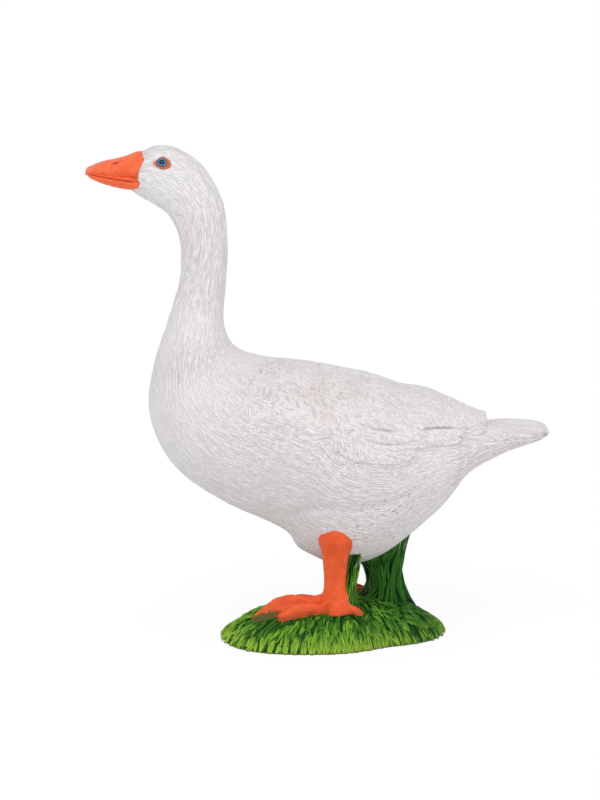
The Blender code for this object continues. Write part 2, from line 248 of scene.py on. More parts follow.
def copies(bm: bmesh.types.BMesh, count: int) -> tuple[Mesh, Array, Array]:
    """Repeat a small shape in one mesh.

    Args:
        bm: The shape, within 1 of the origin. It is freed.
        count: How many copies to make.

    Returns:
        The mesh, the number of each vertex's copy and its place in the shape.
    """
    spacing = 4.0
    holder = new_object("form", shape_mesh(bm))
    rank = holder.modifiers.new("rank", "ARRAY")
    rank.count = count
    rank.use_relative_offset = False
    rank.use_constant_offset = True
    rank.constant_offset_displace = (spacing, 0, 0)
    made = settled(holder)
    places = coordinates(made)
    number = np.rint(places[:, 0] / spacing).astype(int)
    places[:, 0] -= number * spacing
    return made, number, places


def settled(holder: bpy.types.Object) -> Mesh:
    """The mesh that an object's modifiers make. The object is removed."""
    depsgraph = bpy.context.evaluated_depsgraph_get()
    made = bpy.data.meshes.new_from_object(holder.evaluated_get(depsgraph))
    bpy.data.objects.remove(holder)
    return made


def face_outwards(mesh: Mesh) -> None:
    """Turn a closed mesh right side out."""
    mesh.calc_loop_triangles()
    corners = np.empty(len(mesh.loop_triangles) * 3, dtype=np.int32)
    mesh.loop_triangles.foreach_get("vertices", corners)
    a, b, c = coordinates(mesh)[corners.reshape(-1, 3)].transpose(1, 0, 2)
    if np.einsum("ij,ij->", a, np.cross(b, c)) < 0:
        mesh.flip_normals()


def lay_map(mesh: Mesh, across: Array, along: Array, whole: float | None) -> None:
    """Give the mesh the map that its strokes follow.

    Args:
        mesh: The mesh.
        across: Each vertex's place across the strokes.
        along: Each vertex's place along the strokes.
        whole: How much across is once round a closed form, or None.
    """
    corner = np.empty(len(mesh.loops), dtype=np.int32)
    mesh.loops.foreach_get("vertex_index", corner)
    places = across[corner]
    if whole is not None:
        starts = np.empty(len(mesh.polygons), dtype=np.int32)
        totals = np.empty(len(mesh.polygons), dtype=np.int32)
        mesh.polygons.foreach_get("loop_start", starts)
        mesh.polygons.foreach_get("loop_total", totals)
        angle = places / whole * math.tau
        middle = np.arctan2(np.add.reduceat(np.sin(angle), starts), np.add.reduceat(np.cos(angle), starts))
        middle = np.repeat(middle, totals) / math.tau * whole
        places = middle + (places - middle + whole / 2) % whole - whole / 2
    layer = mesh.uv_layers.new(name="strokes")
    layer.data.foreach_set("uv", np.column_stack([places, along[corner]]).ravel())


@dataclass
class Dressed:
    """A piece of the figurine on its way into the scene."""

    name: str
    slot: Slot
    material: Material

    def place(self, mesh: Mesh, points: Array, marks: Marks) -> bpy.types.Object:
        """Set the mesh in place and hand it to the frame.

        Args:
            mesh: The closed mesh.
            points: Its vertices in millimetres.
            marks: Named numbers for each vertex, which its material reads.

        Returns:
            The piece.
        """
        mesh.vertices.foreach_set("co", (points * METRES).ravel())
        mesh.update()
        face_outwards(mesh)
        mesh.shade_smooth()
        for name, values in marks.items():
            layer = mesh.attributes.new(name, "FLOAT", "POINT")
            layer.data.foreach_set("value", values.astype(np.float32))
        mesh.materials.clear()
        mesh.materials.append(self.material)
        mesh.name = self.name
        piece = new_object(self.name, mesh)
        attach(piece, BODY)
        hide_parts(NODE)
        LOG.info("%s: %d faces", self.name, len(mesh.polygons))
        return piece


# Materials


class Graph:
    """Nodes of a material or a group, added and joined in one go."""

    def __init__(self, tree: bpy.types.NodeTree) -> None:
        """Start on an empty tree.

        Args:
            tree: The tree to fill.
        """
        self.tree = tree
        tree.nodes.clear()

    def add(self, kind: str, values: dict[Any, Any] | None = None, **settings: Any) -> bpy.types.Node:
        """Add a node.

        Args:
            kind: The node's type.
            values: A socket to join or a number for each named or numbered input.
            settings: The node's own options.

        Returns:
            The node.
        """
        node = self.tree.nodes.new(kind)
        for key, value in settings.items():
            setattr(node, key, value)
        for key, value in (values or {}).items():
            socket = node.inputs[key]
            if isinstance(value, Socket):
                self.tree.links.new(value, socket)
            else:
                socket.default_value = value
        return node

    def maths(self, operation: str, first: Any, second: Any = 0.0) -> Socket:
        """One sum on one or two numbers."""
        return self.add("ShaderNodeMath", {0: first, 1: second}, operation=operation).outputs[0]

    def mix(self, factor: Any, first: Any, second: Any, blend: str = "MIX") -> Socket:
        """A mix of two colours."""
        first, second = (v if isinstance(v, Socket) else (*v, 1) for v in (first, second))
        values = {0: factor, 6: first, 7: second}
        return self.add("ShaderNodeMix", values, data_type="RGBA", blend_type=blend).outputs[2]

    def ramp(self, value: Any, low: float, high: float, start: float = 0, end: float = 1) -> Any:
        """A number mapped from low..high to start..end, and held there."""
        values = {"Value": value, 1: low, 2: high, 3: start, 4: end}
        return self.add("ShaderNodeMapRange", values, interpolation_type="SMOOTHSTEP").outputs[0]

    def noise(self, vector: Any, scale: float, detail: float = 2, flat: bool = False) -> Any:
        """Noise at a scale, about 0.5."""
        values = {"Vector": vector, "Scale": scale, "Detail": detail}
        return self.add("ShaderNodeTexNoise", values, noise_dimensions="2D" if flat else "3D").outputs[0]

    def stretch(self, vector: Any, scale: tuple[float, float, float]) -> Any:
        """A vector scaled on each axis."""
        return self.add("ShaderNodeMapping", {"Vector": vector, "Scale": scale}).outputs[0]

    def mark(self, name: str) -> Socket:
        """A number that the mesh carries at each vertex."""
        return self.add("ShaderNodeAttribute", attribute_name=name).outputs["Fac"]

    def place(self) -> Socket:
        """Object coordinates."""
        return self.add("ShaderNodeTexCoord").outputs["Object"]

    def strokes(self) -> Socket:
        """The map that the piece's strokes follow."""
        return self.add("ShaderNodeUVMap", uv_map="strokes").outputs[0]

    def group(self, tree: bpy.types.NodeTree, values: dict[Any, Any]) -> Socket:
        """What a node group puts out from its inputs."""
        return self.add("ShaderNodeGroup", values, node_tree=tree).outputs[0]

    def about_zero(self, value: Any, reach: float = 1.0) -> Socket:
        """A number about 0.5, moved to about 0 and scaled."""
        return self.maths("MULTIPLY", self.maths("SUBTRACT", value, 0.5), reach)

    def bump(self, height: Any, depth: float, strength: float) -> Socket:
        """A normal that follows a height, whose depth is in millimetres."""
        values = {"Strength": strength, "Distance": depth * METRES, "Height": height}
        return self.add("ShaderNodeBump", values).outputs[0]

    def finish(self, values: dict[str, Any]) -> None:
        """Close a material with its shader."""
        shader = self.add("ShaderNodeBsdfPrincipled", values)
        self.add("ShaderNodeOutputMaterial", {"Surface": shader.outputs[0]})


def new_group(name: str, takes: dict[str, str], gives: dict[str, str]) -> tuple[Graph, Any, Any]:
    """An empty node group.

    Args:
        name: The group's name.
        takes: The kind of each named input.
        gives: The kind of each named output.

    Returns:
        The graph, its input node and its output node.
    """
    tree = bpy.data.node_groups.new(name, "ShaderNodeTree")
    graph = Graph(tree)
    for label, kind in takes.items():
        tree.interface.new_socket(label, in_out="INPUT", socket_type=kind)
    for label, kind in gives.items():
        tree.interface.new_socket(label, in_out="OUTPUT", socket_type=kind)
    return graph, graph.add("NodeGroupInput"), graph.add("NodeGroupOutput")


def fine_strokes_group() -> bpy.types.NodeTree:
    """Fine wavy strokes along the second axis of a map.

    Returns:
        A group whose Height is about 0.5. Octave says how many times the strokes are halved in width,
        and there are none where it is -1.
    """
    takes = {"Vector": "NodeSocketVector", "Octave": "NodeSocketFloat"}
    graph, given, result = new_group("fine_strokes", takes, {"Height": "NodeSocketFloat"})
    vector = given.outputs["Vector"]
    total: Any = 0.5
    for octave, widening in enumerate((1, 2, 4)):
        placed = graph.stretch(vector, (widening, 1 + 0.13 * octave, 1))
        split = graph.add("ShaderNodeSeparateXYZ", {0: placed})
        sway = graph.noise(graph.stretch(placed, (0.30, 0.55, 1)), 1, 2, flat=True)
        sway = graph.about_zero(sway, 2.0)
        angle = graph.maths("MULTIPLY", graph.maths("ADD", split.outputs["X"], sway), math.tau)
        broken = graph.noise(graph.stretch(placed, (0.8, 1.3, 1)), 1, 1, flat=True)
        reach = graph.ramp(broken, 0.34, 0.50, 0.20, 0.48)
        wave = graph.maths("MULTIPLY", graph.maths("COSINE", angle), reach)
        apart = graph.maths("ABSOLUTE", graph.maths("SUBTRACT", given.outputs["Octave"], octave))
        weight = graph.maths("MAXIMUM", graph.maths("SUBTRACT", 1, apart), 0)
        total = graph.maths("ADD", total, graph.maths("MULTIPLY", wave, weight))
    graph.tree.links.new(total, result.inputs["Height"])
    return graph.tree


def patchy_coat_and_shade_group() -> bpy.types.NodeTree:
    """A coat of paint with soft patches, and painted shade mixed into its hollows.

    Returns:
        A group that puts out Colour.
    """
    takes = {
        "Colour": "NodeSocketColor",
        "Wash": "NodeSocketColor",
        "Hollow": "NodeSocketFloat",
        "Patch Size": "NodeSocketFloat",
        "Patch Depth": "NodeSocketFloat",
    }
    graph, given, result = new_group("patchy_coat_and_shade", takes, {"Colour": "NodeSocketColor"})
    scale = graph.maths("DIVIDE", 1, given.outputs["Patch Size"])
    noise = graph.add("ShaderNodeTexNoise", {"Vector": graph.place(), "Scale": scale, "Detail": 3})
    patch = graph.about_zero(noise.outputs[0], 2)
    lift = graph.maths("MULTIPLY_ADD", patch, given.outputs["Patch Depth"])
    lift.node.inputs[2].default_value = 1
    scaled = graph.add("ShaderNodeVectorMath", {0: given.outputs["Colour"], "Scale": lift}, operation="SCALE")
    # Painted shade: the colour goes towards the shade colour as far as the shade amount says.
    shaded_coat = graph.mix(given.outputs["Hollow"], scaled.outputs[0], (0, 0, 0))
    graph.tree.links.new(given.outputs["Wash"], shaded_coat.node.inputs[7])
    graph.tree.links.new(shaded_coat, result.inputs["Colour"])
    return graph.tree


@dataclass(frozen=True)
class Groups:
    """The node groups that the finishes share."""

    fine_strokes: bpy.types.NodeTree
    patchy_coat_and_shade: bpy.types.NodeTree


def start_material(name: str) -> tuple[Material, Graph]:
    """An empty material and its graph."""
    material = bpy.data.materials.new(name)
    material.use_nodes = True
    return material, Graph(material.node_tree)


@dataclass(frozen=True)
class PlumagePaint:
    """Off-white paint over carved plumage, with painted shade in its grooves and hollows, a painted highlight
    on its raised strokes, and orange round the bill.
    """

    white: Colour = (0.865, 0.843, 0.857)
    tan: Colour = (0.78, 0.62, 0.50)
    lilac: Colour = (0.72, 0.60, 0.62)
    # The colour of the painted shade in grooves, hollows, creases and under the feathers' edges.
    wash: Colour = (0.42, 0.32, 0.30)
    soil: Colour = (0.22, 0.12, 0.08)
    # A painted highlight on the raised strokes.
    ridge_highlight: Colour = (0.92, 0.90, 0.91)
    orange: Colour = (0.88, 0.13, 0.028)
    shaded_orange: Colour = (0.72, 0.10, 0.03)
    groove_wash: float = 0.38
    relief: float = 0.11

    def material(self, groups: Groups) -> Material:
        """The finish as a material.

        Args:
            groups: The shared groups.

        Returns:
            The material.
        """
        material, graph = start_material("painted_plumage")
        place = graph.place()
        values = {"Vector": graph.strokes(), "Octave": graph.mark("octave")}
        height = graph.group(groups.fine_strokes, values)
        colour = graph.mix(graph.mark("tan_and_painted_shade"), self.white, self.tan)
        colour = graph.mix(graph.mark("lilac_and_painted_shade"), colour, self.lilac)
        cloud = graph.ramp(graph.noise(place, 170, 3), 0.5, 0.75, 0, 0.16)
        colour = graph.mix(cloud, colour, self.lilac)
        # Painted shade in the grooves of the fine strokes, as much as the groove shade mark says, and a
        # painted highlight on their raised parts.
        groove = graph.ramp(height, 0.06, 0.46, self.groove_wash, 0)
        groove = graph.maths("MULTIPLY", groove, graph.mark("wash"))
        ridge_highlight = graph.ramp(height, 0.50, 0.90, 0, 0.7)
        colour = graph.mix(ridge_highlight, colour, self.ridge_highlight)
        # All the painted shade: the grooves' shade and the piece's own shade mark.
        hollow = graph.maths("MAXIMUM", groove, graph.mark("hollow"))
        values = {"Colour": colour, "Wash": (*self.wash, 1), "Hollow": hollow}
        values |= {"Patch Size": 0.005, "Patch Depth": 0.035}
        colour = graph.group(groups.patchy_coat_and_shade, values)
        sparse = graph.noise(graph.stretch(graph.strokes(), (3.4, 1.9, 1)), 1, 0, flat=True)
        fleck = graph.maths("MULTIPLY", graph.ramp(sparse, 0.75, 0.79), graph.mark("soil"))
        colour = graph.mix(fleck, colour, self.soil)
        wobble = graph.about_zero(graph.noise(place, 900, 2), 0.5)
        edge = graph.maths("ADD", graph.mark("bill_edge"), wobble)
        painted = graph.ramp(edge, -0.04, 0.05)
        # In the orange round the bill, painted shade in the grooves of the strokes.
        orange_with_shade = graph.mix(graph.ramp(height, 0.35, 0.65), self.shaded_orange, self.orange)
        colour = graph.mix(painted, colour, orange_with_shade)
        normal = graph.bump(height, self.relief, 1.0)
        rough = graph.ramp(painted, 0, 1, 0.62, 0.42)
        graph.finish({"Base Color": colour, "Roughness": rough, "Normal": normal})
        return material


@dataclass(frozen=True)
class OrangePaint:
    """Satin orange paint on the bill, eye rings and legs."""

    name: str = "orange_paint"
    orange: Colour = (0.94, 0.14, 0.034)
    # The colour of the painted shade in hollows, creases and dents.
    deep: Colour = (0.45, 0.045, 0.010)
    pale: Colour = (0.94, 0.25, 0.15)
    moss: Colour = (0.105, 0.10, 0.014)
    grain: float = 0.09

    def material(self, groups: Groups) -> Material:
        """The finish as a material.

        Args:
            groups: The shared groups.

        Returns:
            The material.
        """
        material, graph = start_material(self.name)
        place = graph.place()
        mottle = graph.noise(place, 700, 4)
        colour = graph.mix(graph.ramp(mottle, 0.45, 0.75, 0, 0.28), self.orange, self.pale)
        colour = graph.mix(graph.mark("pale"), colour, self.pale)
        # Painted shade in hollows, creases and dents, towards the deep colour.
        values = {"Colour": colour, "Wash": (*self.deep, 1), "Hollow": graph.mark("hollow")}
        values |= {"Patch Size": 0.003, "Patch Depth": 0.08}
        colour = graph.group(groups.patchy_coat_and_shade, values)
        dust = graph.maths("ADD", graph.mark("moss"), graph.about_zero(graph.noise(place, 1500, 3)))
        colour = graph.mix(graph.ramp(dust, 0.28, 0.78), colour, self.moss)
        grain = graph.noise(place, 2600, 3)
        normal = graph.bump(grain, self.grain, 0.6)
        rough = graph.ramp(grain, 0.3, 0.7, 0.40, 0.55)
        values = {"Base Color": colour, "Roughness": rough, "Normal": normal}
        graph.finish(values | {"Specular IOR Level": 0.35})
        return material


@dataclass(frozen=True)
class EyePaint:
    """Blue iris round a black pupil, under gloss."""

    blue: Colour = (0.040, 0.18, 0.44)
    bright: Colour = (0.10, 0.32, 0.62)
    dark: Colour = (0.008, 0.010, 0.016)
    glint: Colour = (0.75, 0.85, 0.95)

    def material(self) -> Material:
        """The finish as a material."""
        material, graph = start_material("painted_eye")
        wobble = graph.about_zero(graph.noise(graph.place(), 2500, 2), 0.2)
        out = graph.maths("ADD", graph.mark("from_pupil"), wobble)
        rays = graph.noise(graph.place(), 6000, 2)
        iris = graph.mix(graph.ramp(rays, 0.35, 0.65), self.blue, self.bright)
        colour = graph.mix(graph.ramp(out, 0.50, 0.60), self.dark, iris)
        colour = graph.mix(graph.ramp(out, 0.78, 0.92), colour, self.dark)
        # A painted highlight: a small pale dot on the pupil.
        colour = graph.mix(graph.ramp(graph.mark("glint"), 0.7, 1.2, 1, 0), colour, self.glint)
        values = {"Base Color": colour, "Roughness": 0.35, "Coat Weight": 0.08, "Coat Roughness": 0.1}
        graph.finish(values | {"Specular IOR Level": 0.12})
        return material


@dataclass(frozen=True)
class GrassPaint:
    """Dark green paint with lighter green brushed over the raised blades."""

    dark: Colour = (0.005, 0.032, 0.004)
    middle: Colour = (0.024, 0.130, 0.009)
    light: Colour = (0.200, 0.47, 0.032)
    yellow: Colour = (0.36, 0.55, 0.05)
    rim: Colour = (0.20, 0.15, 0.07)
    pale: Colour = (0.62, 0.70, 0.45)
    relief: float = 0.10

    def material(self, groups: Groups) -> Material:
        """The finish as a material.

        Args:
            groups: The shared groups.

        Returns:
            The material.
        """
        material, graph = start_material("brushed_grass")
        place = graph.place()
        crown, tone = graph.mark("crown"), graph.mark("tone")
        values = {"Vector": graph.strokes(), "Octave": 0.0}
        height = graph.group(groups.fine_strokes, values)
        blotch = graph.noise(place, 260, 3)
        raised = graph.maths("ADD", crown, graph.about_zero(height, 0.6))
        colour = graph.mix(graph.ramp(raised, 0.05, 0.6), self.dark, self.middle)
        # The brushed light green follows tone, which carries a random strength of brushing, painted light
        # across the turf and painted shadow on the rear clump.
        touch = graph.maths("MULTIPLY", graph.ramp(raised, 0.45, 0.95), tone)
        touch = graph.maths("MULTIPLY", touch, graph.ramp(blotch, 0.3, 0.6, 0.55, 1.25))
        colour = graph.mix(touch, colour, self.light)
        low = graph.add("ShaderNodeSeparateXYZ", {0: place}).outputs["Z"]
        edge = graph.maths("MULTIPLY", graph.ramp(low, 0.0035, 0.0008), graph.ramp(raised, 0.6, 1.0, 0, 0.7))
        colour = graph.mix(edge, colour, self.yellow)
        colour = graph.mix(graph.mark("pale"), colour, self.pale)
        colour = graph.mix(graph.ramp(low, 0.00032, 0.00014), colour, self.rim)
        normal = graph.bump(height, self.relief, 0.8)
        rough = graph.ramp(raised, 0, 1, 0.75, 0.55)
        values = {"Base Color": colour, "Roughness": rough, "Normal": normal}
        graph.finish(values | {"Specular IOR Level": 0.15})
        return material


# The bird's skin


@dataclass(frozen=True)
class Section:
    """A slice across the bird, in hundredths of its height and shares of half its width."""

    name: str
    back: tuple[float, float]
    belly: tuple[float, float]
    half_width: float
    slim: float


BIRD = (
    Section("bill_root", (-45.0, 97.4), (-47.6, 89.2), 0.13, 0.0),
    Section("brow", (-41.0, 99.1), (-45.0, 87.3), 0.20, 0.0),
    Section("crown", (-36.1, 98.4), (-41.9, 85.5), 0.215, 0.0),
    Section("nape", (-30.2, 94.1), (-38.6, 83.1), 0.215, 0.0),
    Section("neck_top", (-26.1, 86.7), (-36.4, 79.1), 0.215, 0.0),
    Section("neck", (-24.8, 77.5), (-35.6, 73.8), 0.22, 0.0),
    Section("neck_low", (-25.2, 67.0), (-36.2, 66.7), 0.245, 0.0),
    Section("neck_root", (-25.8, 58.9), (-38.9, 58.0), 0.32, 0.0),
    Section("collar", (-25.0, 54.2), (-42.2, 47.8), 0.47, 0.0),
    Section("breast", (-21.7, 50.9), (-43.4, 36.4), 0.68, 0.0),
    Section("shoulder", (-15.9, 48.8), (-38.0, 24.3), 0.86, 0.05),
    Section("keel", (-6.6, 47.7), (-26.1, 15.4), 0.96, 0.14),
    Section("thigh_front", (1.4, 46.2), (-12.0, 8.4), 1.0, 0.24),
    Section("paunch_front", (5.6, 45.2), (-7.8, 3.4), 0.99, 0.3),
    Section("paunch", (11.7, 43.1), (1.2, -0.2), 0.95, 0.32),
    Section("vent_front", (16.1, 41.2), (10.3, 1.6), 0.88, 0.28),
    Section("vent", (21.1, 40.0), (17.7, 6.9), 0.76, 0.18),
    Section("rump", (27.2, 37.1), (25.3, 14.1), 0.61, 0.1),
    Section("tail_root", (34.2, 34.0), (31.4, 22.0), 0.50, 0.05),
    Section("tail", (40.5, 33.8), (39.7, 27.2), 0.45, 0.0),
    Section("tail_end", (47.6, 33.1), (47.9, 30.3), 0.35, 0.0),
    Section("tail_tip", (50.2, 32.2), (50.4, 31.5), 0.13, 0.0),
)


class Skin:
    """The plain outer form of the bird, by a run counted in sections and a turn from the back line."""

    height: float = 64.0
    width: float = 29.2
    lift: float = 11.2
    samples: int = 421

    def __init__(self) -> None:
        """Measure the sections."""
        half, share = self.width / 2, self.height / 100
        self.rows = np.array([
            (
                s.back[0] * share,
                s.back[1] * share + self.lift,
                s.belly[0] * share,
                s.belly[1] * share + self.lift,
                s.half_width * half,
                s.slim,
            )
            for s in BIRD
        ])
        self.last = len(BIRD) - 1
        self.runs = np.linspace(0, self.last, self.samples)
        side = self.points(self.runs, np.full(self.runs.shape, math.pi / 2))
        steps = np.linalg.norm(np.diff(side, axis=0), axis=1)
        self.lengths = np.insert(np.cumsum(steps), 0, 0)
        turns = np.linspace(0, math.tau, 73)
        rings = self.points(self.runs[:, None], turns[None, :])
        self.girths = np.linalg.norm(np.diff(rings, axis=1), axis=2).sum(axis=1)

    def points(self, run: Array, turn: Array) -> Array:
        """Points on the skin in millimetres."""
        back_x, back_z, belly_x, belly_z, half, slim = np.moveaxis(curve(self.rows, run), -1, 0)
        up = np.cos(turn)
        x = (back_x + belly_x + (back_x - belly_x) * up) / 2
        z = (back_z + belly_z + (back_z - belly_z) * up) / 2
        return np.stack([x, -half * np.sin(turn) * (1 + slim * up), z], axis=-1)

    def normals(self, run: Array, turn: Array) -> Array:
        """Directions out of the skin."""
        step = 0.01
        run = np.clip(run, step, self.last - step)
        along = self.points(run + step, turn) - self.points(run - step, turn)
        around = self.points(run, turn + step) - self.points(run, turn - step)
        return unit(np.cross(around, along))

    def distance(self, run: Array) -> Array:
        """How far along the bird's side a run is, in millimetres."""
        return np.interp(run, self.runs, self.lengths)

    def girth(self, run: Array) -> Array:
        """How far it is round the bird at a run, in millimetres."""
        return np.interp(run, self.runs, self.girths)


@dataclass
class BodyCoat:
    """Head, neck, body and tail, with strokes of plumage carved all over.

    Lengths are in millimetres and turns in degrees. The thigh's fold goes through runs and turns, and the
    bill's edge gives the run where the orange ends at each turn. Each of the blushes is a lilac tint given
    as a strength, a run and its reach, and a turn and its reach. Strokes are counted on the ring at
    counting_run, and end at plain_tip.
    """

    skin: Skin
    finish: Material
    segments: int = 400
    rings: int = 240
    belly_crowding: float = 0.45
    head_crowding: float = 0.6
    carving: float = 0.07
    carving_pitch: float = 0.62
    stroke_pitch: float = 0.33
    stroke_length: float = 1.5
    swell: float = 0.16
    thigh_bulge: float = 0.18
    fold_depth: float = 0.20
    counting_run: float = 6.0
    plain_tip: float = 20.6
    thigh_fold: tuple[tuple[float, float], ...] = (
        (11.9, 140), (12.15, 122), (12.95, 108), (13.65, 102),
        (14.35, 98), (14.95, 97), (15.75, 96), (16.3, 91),
    )
    bill_edge: tuple[tuple[float, float], ...] = (
        (0, 0.06), (30, 0.28), (54, 0.56), (66, 0.50), (90, 0.44),
        (108, 0.55), (120, 0.80), (131, 0.48), (150, 0.08), (180, -0.10),
    )
    blushes: tuple[tuple[float, ...], ...] = (
        (0.20, 6.5, 2.2, 20, 32),
        (0.04, 14.5, 2.6, 140, 38),
        (0.20, 18.5, 2.0, 130, 45),
    )

    def build(self) -> bpy.types.Object:
        """Build the piece.

        Returns:
            The piece.
        """
        mesh, ring, angle = ball(self.segments, self.rings)
        share = ring_share(ring, self.rings)
        even = np.linspace(0, 1, self.rings + 1)
        spread = np.interp(even, self.spacing(), np.linspace(0, 1, self.skin.samples))
        run = np.interp(share, even, spread) * self.skin.last
        crowding = self.belly_crowding * rise(run, 9, 11.5) * (1 - rise(run, 17, 19))
        turn = angle + crowding * np.sin(angle)
        height = self.relief(run, turn)
        points = self.skin.points(run, turn) + self.skin.normals(run, turn) * height[:, None]
        ends = (ring == 0) | (ring == self.rings)
        middle = (self.skin.points(run, turn * 0) + self.skin.points(run, turn * 0 + math.pi)) / 2
        points[ends] = middle[ends]
        count = round(self.skin.girth(self.counting_run) / self.stroke_pitch)
        marks = self.marks(run, turn, height, ring, angle)
        octave = np.clip(np.log2(self.skin.girth(run) / (count * self.stroke_pitch)), 0, 2)
        marks["octave"] = np.where(run > self.plain_tip, -1, octave)
        lay_map(mesh, turn / math.tau * count, self.skin.distance(run) / self.stroke_length, count)
        return Dressed("body", Slot.PLUMAGE, self.finish).place(mesh, points, marks)

    def spacing(self) -> Array:
        """Where the rings lie along the runs, closer together at the head."""
        steps = np.diff(self.skin.lengths) * (1 + self.head_crowding * (1 - rise(self.skin.runs[1:], 3, 6)))
        total = np.insert(np.cumsum(steps), 0, 0)
        return total / total[-1]

    def relief(self, run: Array, turn: Array) -> Array:
        """The height of the carving over the skin, in millimetres."""
        far = self.skin.distance(run)
        girth = self.skin.girth(run)
        grain, sway, swell = Relief(5), Relief(6), Relief(7)
        base = round(self.skin.girth(self.counting_run) / self.carving_pitch)
        level = np.clip(np.log2(girth / (base * self.carving_pitch)), 0, 2)
        height = np.zeros(run.shape)
        for octave in range(3):
            count = base * 2**octave
            across = turn / math.tau * count
            bend = sway.at(across / 5, far / 3.1, count // 5 or 1) * 1.1
            layer = grain.at(across + bend, far / (1.5 + 0.2 * octave), count)
            height += layer * np.clip(1 - np.abs(level - octave), 0, 1)
        strength = self.carving * (0.45 + 0.55 * rise(run, 2, 6))
        height *= strength * (1 - 0.3 * rise(run, 18, 20))
        waves = swell.at(turn / math.tau * 12, far / 6.5, 12) * self.swell
        height += waves * rise(run, 5, 9)
        down = np.degrees(np.abs(turn))
        height += self.thigh_bulge * hill(run, 13.1, 1.5) * hill(down, 122, 17)
        height -= self.fold_depth * hill(self.fold_distance(run, turn), 0, 1.1)
        return height * rise(run, 0.5, 1.2)

    def fold_distance(self, run: Array, turn: Array) -> Array:
        """How far each place is from the fold above the thigh, in millimetres, and more past its ends."""
        steps = 60
        path = curve(np.array(self.thigh_fold), np.linspace(0, len(self.thigh_fold) - 1, steps))
        path_points = self.skin.points(path[:, 0], np.radians(path[:, 1]))
        here = self.skin.points(run, np.abs(turn))
        apart = np.full(run.shape, 99.0)
        near = (run > 10.5) & (run < 17.5) & (np.abs(turn) > 1.2)
        faded = np.abs(np.linspace(-1, 1, steps)) ** 4 * 1.2
        gaps = np.linalg.norm(here[near][:, None, :] - path_points[None], axis=2) + faded
        apart[near] = gaps.min(axis=1)
        return apart

    def marks(self, run: Array, turn: Array, height: Array, ring: Array, angle: Array) -> Marks:
        """The numbers that the paint reads.

        Args:
            run: Each vertex's run.
            turn: Each vertex's turn.
            height: The carving's height there.
            ring: Each vertex's ring.
            angle: Each vertex's angle on its ring.

        Returns:
            The marks by name.
        """
        column = np.rint((angle / math.tau) % 1 * self.segments).astype(int) % self.segments
        grid = np.zeros((self.rings + 1, self.segments))
        grid[ring, column] = height
        deep = hollows(grid, 3, True)[ring, column]
        down = np.degrees(np.abs(turn))
        far = self.skin.distance(run)
        blot = Relief(21).at(turn / math.tau * 14, far / 5, 14)
        fine = Relief(22).at(turn / math.tau * 40, far / 2.2, 40)
        from_fold = self.fold_distance(run, turn)
        lilac_and_painted_shade = np.zeros(run.shape)
        for strength, at_run, run_reach, at_turn, turn_reach in self.blushes:
            lilac_and_painted_shade += strength * hill(run, at_run, run_reach) * hill(down, at_turn, turn_reach)
        # Painted shade: lilac along the thigh's fold, in the crease.
        lilac_and_painted_shade += 0.10 * hill(from_fold, 0, 1.3)
        lilac_and_painted_shade += 0.10 * np.clip(blot + 0.2, 0, 1)
        tan_and_painted_shade = 0.09 * np.clip(fine * blot * 2 + 0.1, 0, 1) + 0.05 * hill(run, 10, 2) * hill(down, 50, 30)
        soil = 0.8 * hill(run, 15.3, 1.5) * hill(down, 112, 26)
        edge_turns, edge_runs = np.array(self.bill_edge).T
        edge = np.interp(down, edge_turns, edge_runs)
        return {
            # Painted shade: in the carving's hollows and along the thigh's fold, and in the strokes' grooves,
            # which take less of it on the head.
            "hollow": np.clip(deep * 2.0, 0, 0.12) + 0.05 * hill(from_fold, 0, 0.6),
            "lilac_and_painted_shade": np.clip(lilac_and_painted_shade, 0, 1),
            "tan_and_painted_shade": np.clip(tan_and_painted_shade, 0, 1),
            "soil": soil,
            "wash": 0.5 + 0.5 * rise(run, 4.5, 8),
            "bill_edge": self.skin.distance(edge) - far,
        }


@dataclass(frozen=True)
class Feather:
    """One feather on the skin: its root and tip as a run and a turn in degrees, and its form in millimetres.

    Roundness is how much shorter its sides are than its middle, and barbs is the angle in degrees
    between its strokes and its shaft.
    """

    root: tuple[float, float]
    tip: tuple[float, float]
    half_width: float
    stand: float
    barbs: float = 24
    roundness: float = 0.35


WING_FEATHERS = (
    Feather((12.7, 66.5), (15.85, 64.5), 1.20, 0.46, 30),
    Feather((13.4, 59.5), (17.45, 56.5), 1.10, 0.62, 24, 0.22),
    Feather((13.2, 53.0), (16.15, 51.0), 1.10, 0.80, 26, 0.3),
    Feather((15.2, 51.0), (17.5, 48.5), 1.05, 0.86, 22),
    Feather((17.0, 42.0), (18.3, 33.0), 1.10, 0.70, 10),
    Feather((13.1, 45.0), (16.2, 42.5), 1.50, 0.92, 34, 0.3),
    Feather((15.3, 41.0), (17.45, 37.0), 1.60, 1.06, 28),
    Feather((12.9, 36.0), (17.9, 28.5), 2.30, 1.12, 30, 0.24),
    Feather((13.0, 26.0), (18.2, 19.5), 2.50, 1.27, 26, 0.22),
    Feather((13.2, 15.0), (18.36, 11.0), 2.50, 1.42, 22, 0.22),
    Feather((12.8, 4.0), (17.6, 5.0), 2.20, 1.10, 20),
)
WING_SLITS = (
    ((13.65, 47.9), (14.7, 47.0), 0.17, 0.7),
    ((15.9, 46.4), (17.15, 43.6), 0.17, 1.0),
)
TAIL_FEATHERS = (
    Feather((17.9, 60.0), (20.0, 60.0), 1.6, 0.10, 14),
    Feather((18.2, 44.0), (20.4, 44.0), 1.7, 0.14, 12),
    Feather((18.2, 28.0), (20.7, 28.0), 1.7, 0.18, 10),
    Feather((18.0, 12.0), (20.75, 12.0), 1.7, 0.22, 8),
)


